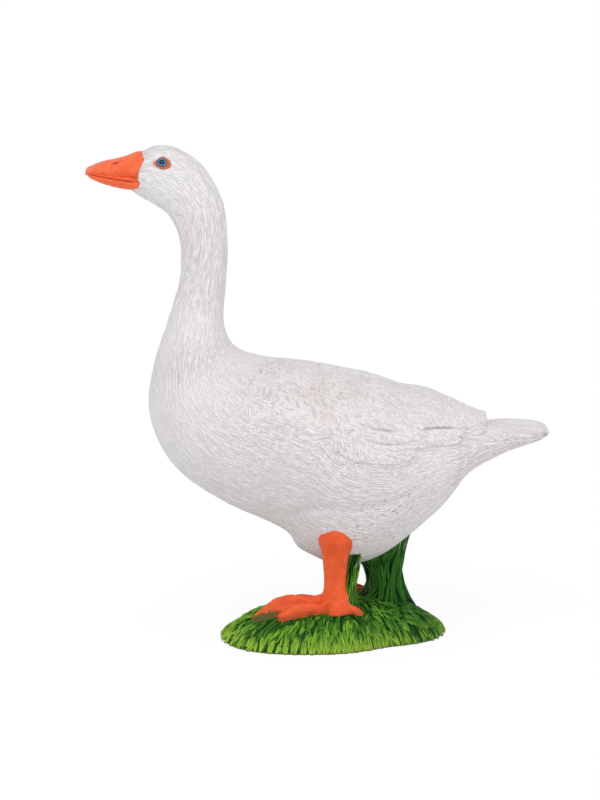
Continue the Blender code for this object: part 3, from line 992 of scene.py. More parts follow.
def small_coverts() -> tuple[Feather, ...]:
    """The short feathers on the front of the wing, which lie in every direction like worn tufts."""
    draws = np.random.default_rng(29)
    count = 8
    made = []
    for run in np.arange(10.7, 14.2, 0.48):
        for turn in np.linspace(8, 63, count) + draws.uniform(-3, 3, count):
            swing = draws.normal(0, 9) + 5
            far = run + draws.uniform(-0.2, 0.2)
            late = float(rise(np.array(far), 12.7, 14.4))
            long = draws.uniform(0.95, 1.35) * (0.8 + 0.5 * late)
            stand = draws.uniform(0.07, 0.16) + 0.42 * late
            root, tip = (far - long, turn - swing / 2), (far, turn + swing / 2)
            made.append(Feather(root, tip, draws.uniform(1.15, 1.6), stand, draws.uniform(-25, 60), 0.5))
    return tuple(made)


def turned(ahead: Array, sideways: Array, angle: float) -> tuple[Array, Array]:
    """Places seen from a line that is turned by an angle towards their side.

    Args:
        ahead: How far each place is ahead.
        sideways: How far it is to the side.
        angle: The line's angle.

    Returns:
        How far each place is along the line and to its side.
    """
    cos, sin = np.cos(angle), np.sin(angle)
    return ahead * cos + sideways * sin, sideways * cos - ahead * sin


@dataclass
class FeatherCoat:
    """Feathers laid over each other on one side of the skin, as one carved sheet closed below the skin.

    The sheet covers runs and turns, in degrees, with a grid of cells. The soft form under the feathers is
    there where flesh is 1: border gives the turn where it ends at each run, and depths its height there.
    Each slit is its two ends as a run and a turn, its width and how deep it is, from 0 to 1.
    """

    name: str
    skin: Skin
    finish: Material
    side: Side
    feathers: tuple[Feather, ...]
    runs: tuple[float, float]
    turns: tuple[float, float]
    cells: tuple[int, int]
    tan_patch: float = 0.0
    flesh: float = 0.0
    border: tuple[tuple[float, ...], tuple[float, ...]] = (
        (10.3, 11.0, 12.0, 13.5, 15.5, 16.1, 17.3, 17.7, 18.3),
        (40, 52, 60, 65, 64, 57, 54, 36, 20),
    )
    depths: tuple[tuple[float, ...], tuple[float, ...]] = (
        (10.3, 11.5, 12.5, 14.3, 16.0, 18.2),
        (0.0, 0.06, 0.12, 0.46, 0.80, 1.10),
    )
    slits: tuple[tuple[tuple[float, float], tuple[float, float], float, float], ...] = ()
    sink: float = 0.35
    thickness: float = 0.8
    valley: float = 0.30
    tip_slope: float = 0.50
    slit_cut: float = 0.25
    barb_cut: float = 0.045
    seam_wash: float = 0.15
    ragged: float = 0.12
    stroke_pitch: float = 0.34
    stroke_length: float = 1.3
    stroke_shift: float = 7.3

    def build(self) -> bpy.types.Object:
        """Build the piece.

        Returns:
            The piece.
        """
        bm = bmesh.new()
        bmesh.ops.create_grid(bm, x_segments=self.cells[0], y_segments=self.cells[1], size=1)
        raised = bmesh.ops.extrude_face_region(bm, geom=bm.faces[:])["geom"]
        for vertex in (v for v in raised if isinstance(v, bmesh.types.BMVert)):
            vertex.co.z = 1
        mesh = shape_mesh(bm)
        places = coordinates(mesh)
        column = np.rint((places[:, 0] + 1) / 2 * self.cells[0]).astype(int)
        line = np.rint((places[:, 1] + 1) / 2 * self.cells[1]).astype(int)
        runs = np.linspace(*self.runs, self.cells[0] + 1)[:, None] + np.zeros(self.cells[1] + 1)
        turns = np.linspace(*self.turns, self.cells[1] + 1)[None, :] + np.zeros((self.cells[0] + 1, 1))
        height, across, along, edge, owner = self.relief(runs, turns)
        slit = self.slit_depth(runs, turns)
        out = height + self.carve(across, along, height) - self.slit_cut * slit
        angle = np.radians(turns) * self.side.value
        plain, normals = self.skin.points(runs, angle), self.skin.normals(runs, angle)
        points = plain + normals * out[..., None]
        inner = plain - normals * self.thickness
        deep = hollows(height, 3, False)
        marks = self.marks(runs, turns, deep, edge)
        # Painted shade in the slits between feathers.
        marks["hollow"] = np.maximum(marks["hollow"], slit)
        seam = self.seams(owner)
        marks["octave"] = np.where(seam, -1.0, 0.0)
        # Painted shade along the seams where feathers meet.
        marks["hollow"] = np.maximum(marks["hollow"], np.where(seam, self.seam_wash, 0))
        across, along = across / self.stroke_pitch, along / self.stroke_length
        lay_map(mesh, across[column, line], along[column, line], None)
        picked = {name: values[column, line] for name, values in marks.items()}
        name = f"{self.side.word}_{self.name}"
        above = (places[:, 2] > 0.5)[:, None]
        laid = np.where(above, points[column, line], inner[column, line])
        return Dressed(name, Slot.PLUMAGE, self.finish).place(mesh, laid, picked)

    def relief(self, runs: Array, turns: Array) -> tuple[Array, ...]:
        """Lay the feathers over each other.

        Args:
            runs: Run of each place.
            turns: Turn of each place in degrees.

        Returns:
            Height over the skin, places across and along the strokes, how near an edge each place is
            and the number of its feather.
        """
        ground = self.ground(runs, turns)
        height = ground
        across = turns * self.skin.girth(runs) / 360
        along = self.skin.distance(runs)
        edge = np.zeros(runs.shape)
        owner = np.full(runs.shape, -1)
        far = self.skin.distance(runs)
        arc = self.skin.girth(runs) / 360
        ragged = Relief(33).at(turns / 3.1, far / 0.9)
        for number, feather in enumerate(self.feathers):
            ends = np.array([feather.root[0], feather.tip[0]])
            start, end = map(float, self.skin.distance(ends))
            length = end - start
            way = (far - start) / length
            line = feather.root[1] + (feather.tip[1] - feather.root[1]) * way
            aside = (turns - line) * arc
            middle = aside / (feather.half_width * (0.75 + 0.25 * rise(way, 0, 0.35)))
            reach = way / (1 - feather.roundness * np.clip(np.abs(middle), 0, 1) ** 2.4)
            to_tip = (1 - reach) * length
            rim = np.minimum(to_tip, (1 - np.abs(middle)) * feather.half_width * 1.3) + self.ragged * ragged
            slope = self.tip_slope * (0.6 + feather.stand)
            body = feather.stand * (0.25 + 0.75 * rise(reach, 0, 0.8)) * (1 - self.valley * middle**2)
            body = ground + (body - ground) * (0.02 + 0.98 * rise(rim, 0, slope)) * rise(reach, 0, 0.22)
            valid = (reach >= 0) & (rim >= 0) & (np.abs(middle) <= 1.0) & (body > height)
            height = np.where(valid, body, height)
            lean = np.arctan2((feather.tip[1] - feather.root[1]) * float(arc.mean()), length)
            ahead, sideways = turned(far - start, (turns - feather.root[1]) * arc, lean)
            ahead, sideways = turned(ahead, sideways, math.radians(feather.barbs))
            across = np.where(valid, sideways + number * self.stroke_shift, across)
            along = np.where(valid, ahead + number * self.stroke_shift, along)
            # How near the lower side of the feather's edge each place is, which takes painted shade.
            lower = (1 - rise(rim, 0, 0.75)) * (0.4 + 0.6 * rise(middle, 0, 0.6))
            edge = np.where(valid, lower * min(1.0, 1.4 * feather.stand), edge)
            owner = np.where(valid, number, owner)
        border = np.zeros(runs.shape, dtype=bool)
        border[[0, -1], :] = border[:, [0, -1]] = True
        return np.where(border, -self.sink, height), across, along, edge, owner

    def seams(self, owner: Array) -> Array:
        """The places that border on another feather, where one feather's strokes end."""
        padded = np.pad(owner, 1, mode="edge")
        rows, columns = owner.shape
        seam = np.zeros(owner.shape, dtype=bool)
        for down in range(3):
            for over in range(3):
                seam |= padded[down : down + rows, over : over + columns] != owner
        return seam

    def ground(self, runs: Array, turns: Array) -> Array:
        """The height of the soft form that the feathers lie on, below the skin outside the wing."""
        border = np.interp(runs, *self.border)
        inside = rise(runs, 10.2, 11.2) * (1 - rise(runs, 18.0, 18.3))
        inside *= 1 - rise(turns, border - 7, border + 1)
        depth = np.interp(runs, *self.depths) * (0.55 + 0.35 * (1 - rise(turns, 25, 60)))
        return -self.sink + (self.sink + depth) * inside * self.flesh

    def carve(self, across: Array, along: Array, height: Array) -> Array:
        """Barbs cut along each feather's strokes, in millimetres."""
        cut = Relief(31).at(across / 0.5, along / 1.6) * self.barb_cut
        return np.where(height > 0, cut, 0)

    def slit_depth(self, runs: Array, turns: Array) -> Array:
        """How deep in a slit between two feathers each place is, from 0 to 1."""
        depth = np.zeros(runs.shape)
        here = self.skin.points(runs, np.radians(turns))
        steps = 40
        for first, last, width, deep in self.slits:
            path = np.linspace(first, last, steps)
            for share, (run, turn) in zip(np.linspace(-1, 1, steps), path):
                spot = self.skin.points(np.array(run), np.array(math.radians(turn)))
                gap = np.linalg.norm(here - spot, axis=-1)
                depth = np.maximum(depth, deep * (1 - share**4) * hill(gap, 0, width))
        return depth

    def marks(self, runs: Array, turns: Array, deep: Array, edge: Array) -> Marks:
        """The numbers that the paint reads.

        Args:
            runs: Run of each place.
            turns: Turn of each place in degrees.
            deep: How far it lies below its surroundings.
            edge: How near a feather's edge it is, most on its lower side, where painted shade goes.

        Returns:
            The marks by name.
        """
        far = self.skin.distance(runs)
        blot = Relief(41).at(turns / 13, far / 3.4)
        patch = self.tan_patch * hill(runs, 12.0, 1.35) * hill(turns, 36, 22)
        # Painted shade along the feathers' lower edges goes a little into the tan and lilac marks and more
        # into the shade mark. The blots and the tan patch are tint.
        tan_and_painted_shade = patch * np.clip(0.35 + 0.9 * blot, 0, 1) + 0.05 * edge
        lilac_and_painted_shade = 0.18 * np.clip(blot + 0.3, 0, 1) + 0.45 * edge
        return {
            "hollow": np.clip(deep * 0.5, 0, 0.10) + 0.55 * edge**1.3,
            "lilac_and_painted_shade": lilac_and_painted_shade,
            "tan_and_painted_shade": np.clip(tan_and_painted_shade, 0, 1),
            "soil": 0 * runs,
            "wash": 0 * runs + 1,
            "bill_edge": 0 * runs - 9,
        }


# Bill and eyes


@dataclass
class Bill:
    """The bill's two halves, which meet along the mouth.

    Each slice is a share of the length, how far the bill goes above and below the mouth there in shares of
    its depth, and how wide it is in shares of its width. The nostril is a share of the length and a turn in
    degrees.
    """

    skin: Skin
    finish: Material
    length: float = 7.4
    width: float = 4.5
    depth: float = 5.8
    root: tuple[float, float] = (-46.1, 91.1)
    rise_degrees: float = 8.0
    overlap: float = 0.16
    overhang: float = 0.02
    overbite: float = 0.3
    nostril: tuple[float, float] = (0.42, 48.0)
    segments: int = 120
    rings: int = 130
    slices: tuple[tuple[float, float, float, float], ...] = (
        (-0.25, 0.76, 0.21, 1),
        (0, 0.74, 0.26, 1),
        (0.33, 0.53, 0.26, 0.88),
        (0.65, 0.38, 0.21, 0.74),
        (0.84, 0.26, 0.155, 0.58),
        (0.96, 0.16, 0.09, 0.38),
        (1, 0.09, 0.03, 0.13),
    )

    def build(self) -> None:
        """Build the upper and the lower half."""
        self.half("upper_bill", upper=True)
        self.half("lower_bill", upper=False)

    def half(self, name: str, upper: bool) -> bpy.types.Object:
        """Build one half.

        Args:
            name: The piece's name.
            upper: Whether it is the half above the mouth.

        Returns:
            The piece.
        """
        mesh, ring, turn = ball(self.segments, self.rings)
        share = ring_share(ring, self.rings)
        ahead, above, below, wide = curve(np.array(self.slices), share * (len(self.slices) - 1)).T
        top = above if upper else self.overlap * wide
        low = -self.overlap / 4 - 0.01 * rise(ahead, 0.80, 0.95) if upper else -below
        closed = np.where((ring == 0) | (ring == self.rings), 0, 1)
        narrow = 0 if upper else self.overhang
        side = np.sin(turn) * wide * (self.width / 2 - narrow) * closed
        height = ((top + low) / 2 + (top - low) / 2 * np.cos(turn) * closed) * self.depth
        angle = math.radians(self.rise_degrees)
        forward = np.array([-math.cos(angle), 0, math.sin(angle)])
        upward = np.array([math.sin(angle), 0, math.cos(angle)])
        root = np.array([self.root[0], 0, self.root[1]]) * self.skin.height / 100
        root[2] += self.skin.lift
        carved, hollow, pale = self.carve(ahead, turn, upper)
        outward = np.sin(turn)[:, None] * np.array([0, 1, 0]) + np.cos(turn)[:, None] * upward
        length = self.length - (0 if upper else self.overbite)
        points = root + np.outer(ahead * length, forward) + np.outer(height, upward)
        points[:, 1] += side
        points += outward * (carved * closed)[:, None]
        marks = {"hollow": hollow, "pale": pale, "moss": 0 * hollow}
        return Dressed(name, Slot.ORANGE, self.finish).place(mesh, points, marks)

    def carve(self, ahead: Array, turn: Array, upper: bool) -> tuple[Array, ...]:
        """Carve the nostrils, the nail and the fine teeth along the mouth.

        Args:
            ahead: Shares of the bill's length.
            turn: Turns from the top line of the bill.
            upper: Whether it is the upper half.

        Returns:
            Heights in millimetres, and the marks for painted shade in hollows and for paler paint and painted
            highlights.
        """
        down = np.degrees(np.abs(turn))
        lumps = Relief(51).at(ahead * 12 + 20, turn / math.tau * 14, 256)
        fine = Relief(52).at(ahead * 40 + 60, turn / math.tau * 60, 256)
        carved = 0.05 * lumps + 0.025 * fine
        # Painted shade in the dents of the bill's lumps.
        hollow = 0.18 * np.clip(-lumps, 0, 1)
        if not upper:
            # Painted shade in the mouth's groove on the lower half.
            groove = hill(down, 76, 6) * rise(ahead, -0.05, 0.04)
            carved = carved - 0.20 * groove
            return carved, hollow + 0.95 * groove, 0.12 * rise(ahead, 0.6, 1)
        along, height = ahead - self.nostril[0], self.nostril[1]
        slit = hill(along, 0, 0.085) * hill(down, height + 40 * along, 6.0)
        brim = hill(along, 0, 0.13) * hill(down, height + 4, 15)
        teeth = rise(ahead, 0.08, 0.14) * (1 - rise(ahead, 0.46, 0.58)) * hill(down, 112, 16)
        ridges = np.sin(ahead * self.length / 0.36 * math.tau) * teeth
        nail = hill(ahead, 0.885, 0.02) * (1 - rise(down, 70, 110))
        carved = carved - 0.30 * slit + 0.08 * brim + 0.05 * ridges - 0.06 * nail
        # Painted shade in the nostril, between the teeth and round the nail.
        hollow = hollow + 0.95 * slit + 0.22 * np.clip(-ridges, 0, 1) + 0.12 * nail
        # Paler paint on the nail, and a painted highlight along the top of the bill and on its raised lumps.
        pale = 0.85 * rise(ahead, 0.72, 1.0) * (1 - rise(down, 60, 120)) + 0.4 * hill(down, 0, 32)
        pale = pale + 0.25 * np.clip(lumps, 0, 1)
        return carved, np.clip(hollow, 0, 1), np.clip(pale, 0, 1)


@dataclass
class Eye:
    """One eye: an almond lid painted orange and a painted ball."""

    skin: Skin
    lid_finish: Material
    ball_finish: Material
    side: Side
    run: float = 1.62
    turn_degrees: float = 63.0
    lid_length: float = 2.65
    lid_height: float = 1.98
    lid_stand: float = 0.22
    lid_squareness: float = 1.45
    diameter: float = 1.56
    flatness: float = 0.84
    offset: tuple[float, float] = (0.16, 0.06)
    # Where the painted highlight sits on the pupil, and its radius.
    glint: tuple[float, float] = (-0.02, 0.04)
    glint_radius: float = 0.055
    rings: int = 48

    def build(self) -> None:
        """Build the lid, and the ball a little ahead of its middle and above it."""
        turn = np.array(self.side.value * math.radians(self.turn_degrees))
        spot = self.skin.points(np.array(self.run), turn)
        normal = self.skin.normals(np.array(self.run), turn)
        upward = unit(np.array([0, 0, 1]) - normal * normal[2])
        forward = unit(np.array([-1, 0, 0]) + normal * normal[0])
        self.lid(spot, forward, upward, normal)
        spot = spot + forward * self.offset[0] + upward * self.offset[1]
        self.eyeball(spot, forward, upward, normal)

    def lid(self, spot: Array, forward: Array, upward: Array, normal: Array) -> None:
        """Build the raised ring round the eye."""
        mesh, ring, turn = ball(72, self.rings)
        tilt = np.pi * ring / self.rings
        spread = np.sin(tilt)
        power = self.lid_squareness
        squared = 1 / (np.abs(np.cos(turn)) ** power + np.abs(np.sin(turn)) ** power) ** (1 / power)
        lumps = 1 + 0.05 * np.cos(3 * turn + 0.6) + 0.03 * np.cos(5 * turn)
        long = self.lid_length / 2 * spread * np.cos(turn) * squared * lumps
        tall = self.lid_height / 2 * spread * np.sin(turn) * squared * lumps
        tall += 0.04 * long
        out = self.lid_stand * 1.6 * np.cos(tilt)
        inner = hill(spread, 0.0, 0.62)
        out = out - 0.14 * inner * (np.cos(tilt) > 0)
        points = spot + np.outer(long, forward) + np.outer(tall, upward) + np.outer(out, normal)
        # Painted shade in a crease inside the lid and along its outer edge.
        crease = hill(spread, 0.66, 0.07) * 0.75 + 0.35 * hill(spread, 1, 0.1)
        marks = {"hollow": np.clip(crease, 0, 1), "pale": 0.2 * hill(spread, 0.85, 0.1), "moss": 0 * out}
        name = f"{self.side.word}_eye_lid"
        Dressed(name, Slot.ORANGE, self.lid_finish).place(mesh, points, marks)

    def eyeball(self, spot: Array, forward: Array, upward: Array, normal: Array) -> None:
        """Build the ball."""
        mesh, ring, turn = ball(64, self.rings)
        tilt = np.pi * ring / self.rings
        radius = self.diameter / 2
        long = np.sin(tilt) * radius * np.cos(turn)
        tall = np.sin(tilt) * radius * np.sin(turn) * self.flatness
        out = self.lid_stand * 0.6 + np.cos(tilt) * radius * 0.5
        points = spot + np.outer(long, forward) + np.outer(tall, upward) + np.outer(out, normal)
        from_pupil = np.hypot(long, tall / self.flatness) / radius
        from_pupil = np.where(np.cos(tilt) > 0, from_pupil, 1.2)
        glint = np.hypot(long - self.glint[0], tall - self.glint[1]) / self.glint_radius
        marks = {"from_pupil": from_pupil, "glint": np.where(np.cos(tilt) > 0, glint, 9)}
        name = f"{self.side.word}_eyeball"
        Dressed(name, Slot.EYE, self.ball_finish).place(mesh, points, marks)


# The turf base


@dataclass
class Turf:
    """The domed base and the blades that lie down its sides.

    The outline is in shares of half the length, at even steps about the centre. Each foot is the place of
    its heel, and blades lie flat and thin within foot_reach behind and ahead of it.
    """

    finish: Material
    length: float = 33.6
    rim: float = 0.6
    height: float = 5.8
    far_side_drop: float = 0.35
    far_side: tuple[float, float] = (-3.0, 7.0)
    outline: tuple[float, ...] = (
        1.0, 1.01, 0.99, 0.91, 0.82, 0.75, 0.71, 0.695, 0.71, 0.75, 0.83, 0.93,
        1.0, 1.03, 1.02, 0.94, 0.835, 0.755, 0.71, 0.685, 0.67, 0.69, 0.8, 0.94,
    )
    segments: int = 240
    dome_rings: int = 60
    blades: int = 1700
    blade_length: tuple[float, float] = (1.3, 2.3)
    blade_width: tuple[float, float] = (0.65, 1.1)
    blade_stand: float = 0.46
    feet: tuple[tuple[float, float], ...] = ((0.5, -6.4), (9.0, 6.4))
    foot_reach: tuple[float, float] = (-4.4, 11.8)
    trodden_width: float = 0.2
    yaw: float = 0.36
    bend: float = 0.22
    blade_depth: float = 0.24
    overhang: float = 1.012

    def reach(self, angle: Array) -> Array:
        """How far the outline is from the centre, at angles seen from above."""
        count = len(self.outline)
        place = np.asarray(angle) / math.tau * count % count
        around = np.array(self.outline)[(np.arange(-1, count + 3)) % count][:, None]
        return curve(around, place + 1)[..., 0] * self.length / 2

    def top(self, x: Array, y: Array) -> Array:
        """The height of the smooth turf."""
        angle = np.arctan2(y, x)
        steepness = 3.1 + 1.9 * np.sin(angle) ** 2 + 0.5 * np.cos(angle)
        share = np.hypot(x, y) / self.reach(angle)
        height = self.height * (1 - self.far_side_drop * rise(y, *self.far_side))
        return self.rim + (height - self.rim) * np.clip(1 - share**steepness, 0, None)

    def build(self) -> None:
        """Build the mound and its blades."""
        self.mound()
        self.sward()

    def mound(self) -> None:
        """Build the solid base under the blades, with a flat underside."""
        rim_ring, rings = self.dome_rings, self.dome_rings + 4
        mesh, ring, angle = ball(self.segments, rings)
        share = np.clip(ring / rim_ring, 0, 1) ** 0.7
        share = np.where(ring > rim_ring + 1, 0.985, share)
        share = np.where(ring == rings - 1, 0.5, share)
        share = np.where(ring == rings, 0, share)
        reach = self.reach(angle) * share
        x, y = reach * np.cos(angle), reach * np.sin(angle)
        lumps = Relief(61).at(angle / math.tau * 96, share * 9, 96)
        z = self.top(x, y) + 0.22 * lumps * rise(rim_ring - ring, 0, 6) - 0.12
        z = np.where(ring == rim_ring + 1, self.rim * 0.5, z)
        z = np.where(ring > rim_ring + 1, 0, z)
        marks = {
            "crown": np.clip(0.36 + 0.25 * lumps, 0, 1),
            "tone": 0.35 + 0 * z,
            "pale": 0 * z,
        }
        lay_map(mesh, angle / math.tau * 140, reach / 1.4, 140)
        Dressed("turf", Slot.GRASS, self.finish).place(mesh, np.column_stack([x, y, z]), marks)

    def trodden(self, x: Array, y: Array) -> Array:
        """Whether each place is under a foot, which widens ahead of its heel."""
        covered = np.zeros(x.shape, dtype=bool)
        for foot_x, foot_y in self.feet:
            ahead = foot_x - x
            within = (ahead > self.foot_reach[0]) & (ahead < self.foot_reach[1])
            covered |= within & (np.abs(y - foot_y) < 1.5 + 0.16 * np.clip(ahead, 0, 12))
        return covered

    def sward(self) -> None:
        """Lay the blades like thatch, from the middle of the dome to its rim."""
        draws = np.random.default_rng(63)
        mesh, number, shape = copies(blade_shape(6, 6), self.blades)
        count = self.blades
        angle = draws.uniform(0, math.tau, count)
        share = np.sqrt(draws.uniform(0.01, 0.95, count))
        long = draws.uniform(*self.blade_length, count)
        wide = draws.uniform(*self.blade_width, count)
        yaw = draws.normal(0, self.yaw, count)
        stand = self.blade_stand * draws.uniform(0.4, 1.5, count)
        tone = draws.uniform(0.15, 1.0, count) ** 1.3
        share = np.minimum(share, 1 - 0.8 * long / self.reach(angle) * 0.72)
        centre = self.reach(angle) * share
        stand *= 1 - 0.65 * rise(share, 0.55, 0.95)
        # Painted light: blades are lighter on the left of the base and darker on the right, as if lit from
        # the left.
        tone *= 1.04 - 0.85 * centre * np.cos(angle) / 16
        for reached in (0.0, 0.5, 0.9):
            out = centre + long * reached
            trodden = self.trodden(out * np.cos(angle), out * np.sin(angle))
            stand, wide = np.where(trodden, 0, stand), np.where(trodden, self.trodden_width, wide)
        heading = angle + yaw
        along, across, up = shape[:, 2], shape[:, 0], shape[:, 1]
        bend = draws.normal(0, self.bend, count)[number]
        reach = along * long[number]
        sideways = (across * wide[number] / 2 + bend * along**2 * 0.6) * (1 - 0.35 * along)
        x = centre[number] * np.cos(angle[number]) + reach * np.cos(heading[number])
        y = centre[number] * np.sin(angle[number]) + reach * np.sin(heading[number])
        x -= sideways * np.sin(heading[number])
        y += sideways * np.cos(heading[number])
        over = np.hypot(x, y) / (self.reach(np.arctan2(y, x)) * self.overhang)
        x, y = x / np.maximum(over, 1), y / np.maximum(over, 1)
        lift = stand[number] * (0.1 + 0.9 * rise(along, 0, 0.75) - 0.25 * rise(along, 0.8, 1))
        z = self.top(x, y) + lift + up * self.blade_depth - 0.15
        z = np.maximum(z - 0.45 * rise(over, 0.96, 1.02), 0.02)
        marks = {
            # Painted light: raised blades are also lighter towards the left of the base.
            "crown": np.clip(0.08 + 0.45 * up + 0.85 * rise(along, 0.1, 0.8) - 0.012 * x, 0, 1.3),
            "tone": tone[number],
            "pale": 0 * z,
        }
        lay_map(mesh, across * 1.6 + number * 3.3, along * 2 + number * 1.7, None)
        Dressed("turf_blades", Slot.GRASS, self.finish).place(mesh, np.column_stack([x, y, z]), marks)


def blade_shape(segments: int, rings: int) -> bmesh.types.BMesh:
    """A leaf along +Z from 0 to 1, within 1 of its axis and slimmer towards its tip.

    Args:
        segments: Sides of the leaf's section.
        rings: Steps along it.

    Returns:
        The leaf.
    """
    bm = bmesh.new()
    bmesh.ops.create_uvsphere(bm, u_segments=segments, v_segments=rings, radius=1)
    for vertex in bm.verts:
        along = (vertex.co.z + 1) / 2
        width = math.hypot(vertex.co.x, vertex.co.y)
        slim = (1.15 - 0.75 * along) if width > 1e-6 else 1
        vertex.co = Vector((vertex.co.x * slim, vertex.co.y * slim, along))
    return bm


@dataclass
class Tussock:
    """A clump of grass from the turf up to the belly: a fluted core and long blades round it.

    Its centre, its half sizes along and across at each level and its lean are in hundredths of the
    base's length.
    """

    name: str
    turf: Turf
    finish: Material
    belly: BVHTree
    centre: tuple[float, float]
    foot: tuple[float, float]
    waist: tuple[float, float]
    head: tuple[float, float]
    lean: float
    blades: int
    tone: float
    seed: int
    segments: int = 110
    rings: int = 60
    sink: float = 0.9
    blade_stand: float = 0.36
    blade_depth: float = 0.30
    bare_height: float = 14.0

    def build(self) -> None:
        """Build the core and the blades."""
        self.core()
        self.spray()

    def belly_height(self, x: Array, y: Array) -> Array:
        """The height of the bird's underside over places on the turf, or bare_height where it isn't."""
        heights = []
        for px, py in zip(x, y):
            hit = self.belly.ray_cast(Vector((px, py, 0)), Vector((0, 0, 1)))[0]
            heights.append(hit.z if hit else self.bare_height)
        return np.array(heights)

    def surface(self, share: Array, turn: Array, flute: Array) -> Array:
        """Points on the clump's side.

        Args:
            share: From 0 at the foot to 1 at the belly.
            turn: Angles seen from above.
            flute: How far each point stands out, in millimetres.

        Returns:
            The points.
        """
        scale = self.turf.length / 100
        levels = np.array([self.foot, self.waist, self.waist, self.head]) * scale
        halves = curve(levels, share * (len(levels) - 1))
        tops = levels[-1]
        x0, y0 = self.centre[0] * scale, self.centre[1] * scale
        x = x0 + self.lean * scale * share**2 + (halves[..., 0] + flute) * np.cos(turn)
        y = y0 + (halves[..., 1] + flute) * np.sin(turn)
        top_x = x0 + self.lean * scale + tops[0] * np.cos(turn)
        top_y = y0 + tops[1] * np.sin(turn)
        foot_x, foot_y = x0 + levels[0, 0] * np.cos(turn), y0 + levels[0, 1] * np.sin(turn)
        low = self.turf.top(foot_x, foot_y) - self.sink
        angles, back = np.unique(np.round(turn, 3), return_inverse=True)
        picks = np.zeros(len(angles), dtype=int)
        picks[back] = np.arange(len(turn))
        high = self.belly_height(top_x[picks], top_y[picks])[back] + self.sink * 0.6
        return np.column_stack([x, y, low + (high - low) * share])

    def core(self) -> None:
        """Build the fluted core."""
        mesh, ring, turn = ball(self.segments, self.rings)
        share = ring_share(ring, self.rings)
        flutes = Relief(self.seed).at(turn / math.tau * 30 + 0.5 * share, share * 2.2, 30)
        fine = Relief(self.seed + 1).at(turn / math.tau * 60, share * 3, 60)
        flute = 0.42 * flutes + 0.16 * fine - 0.15
        points = self.surface(share, turn, flute)
        ends = (ring == 0) | (ring == self.rings)
        for end in (0, self.rings):
            points[ring == end] = points[ring == abs(end - 1)].mean(axis=0)
        crown = np.clip(0.30 + 0.55 * flutes + 0.2 * fine, 0, 1)
        marks = {"crown": np.where(ends, 0, crown), "tone": self.tone + 0 * crown, "pale": 0 * crown}
        lay_map(mesh, turn / math.tau * 90, share * 5, 90)
        Dressed(self.name, Slot.GRASS, self.finish).place(mesh, points, marks)

    def spray(self) -> None:
        """Lay long blades up the core."""
        draws = np.random.default_rng(self.seed)
        mesh, number, shape = copies(blade_shape(6, 14), self.blades)
        count = self.blades
        turn = np.linspace(0, math.tau, count, endpoint=False) + draws.normal(0, 0.10, count)
        start = draws.uniform(0.0, 0.35, count)
        end = np.minimum(start + draws.uniform(0.35, 0.8, count), draws.uniform(0.80, 0.94, count))
        wide = draws.uniform(0.55, 0.95, count)
        twist = draws.normal(0, 0.16, count)
        tone = np.clip(self.tone * draws.uniform(0.6, 1.6, count), 0, 1)
        tips = draws.uniform(0, 1, count) < 0.45
        along, across, up = shape[:, 2], shape[:, 0], shape[:, 1]
        share = np.clip(start[number] + (end - start)[number] * along, 0, 1)
        lift = np.sin(along * 2.6) * draws.uniform(0.5, 1.5, count)[number]
        stand = self.blade_stand * (0.2 + lift)
        angle = turn[number] + twist[number] * along
        points = self.surface(share, turn[number], stand + up * self.blade_depth)
        centre_x, centre_y = (place * self.turf.length / 100 for place in self.centre)
        swung = angle - turn[number]
        x, y = points[:, 0] - centre_x, points[:, 1] - centre_y
        points[:, 0] = centre_x + x * np.cos(swung) - y * np.sin(swung)
        points[:, 1] = centre_y + x * np.sin(swung) + y * np.cos(swung)
        points[:, 0] -= np.sin(angle) * across * wide[number] / 2
        points[:, 1] += np.cos(angle) * across * wide[number] / 2
        pale = np.where(tips[number] & (share > 0.76), rise(along, 0.76, 0.96) * 0.55, 0)
        marks = {
            "crown": np.clip(0.05 + 0.55 * up + 0.45 * along, 0, 1.2),
            "tone": tone[number],
            "pale": pale,
        }
        lay_map(mesh, across * 1.5 + number * 3.7, along * 4 + number, None)
        Dressed(f"{self.name}_blades", Slot.GRASS, self.finish).place(mesh, points, marks)


# Legs


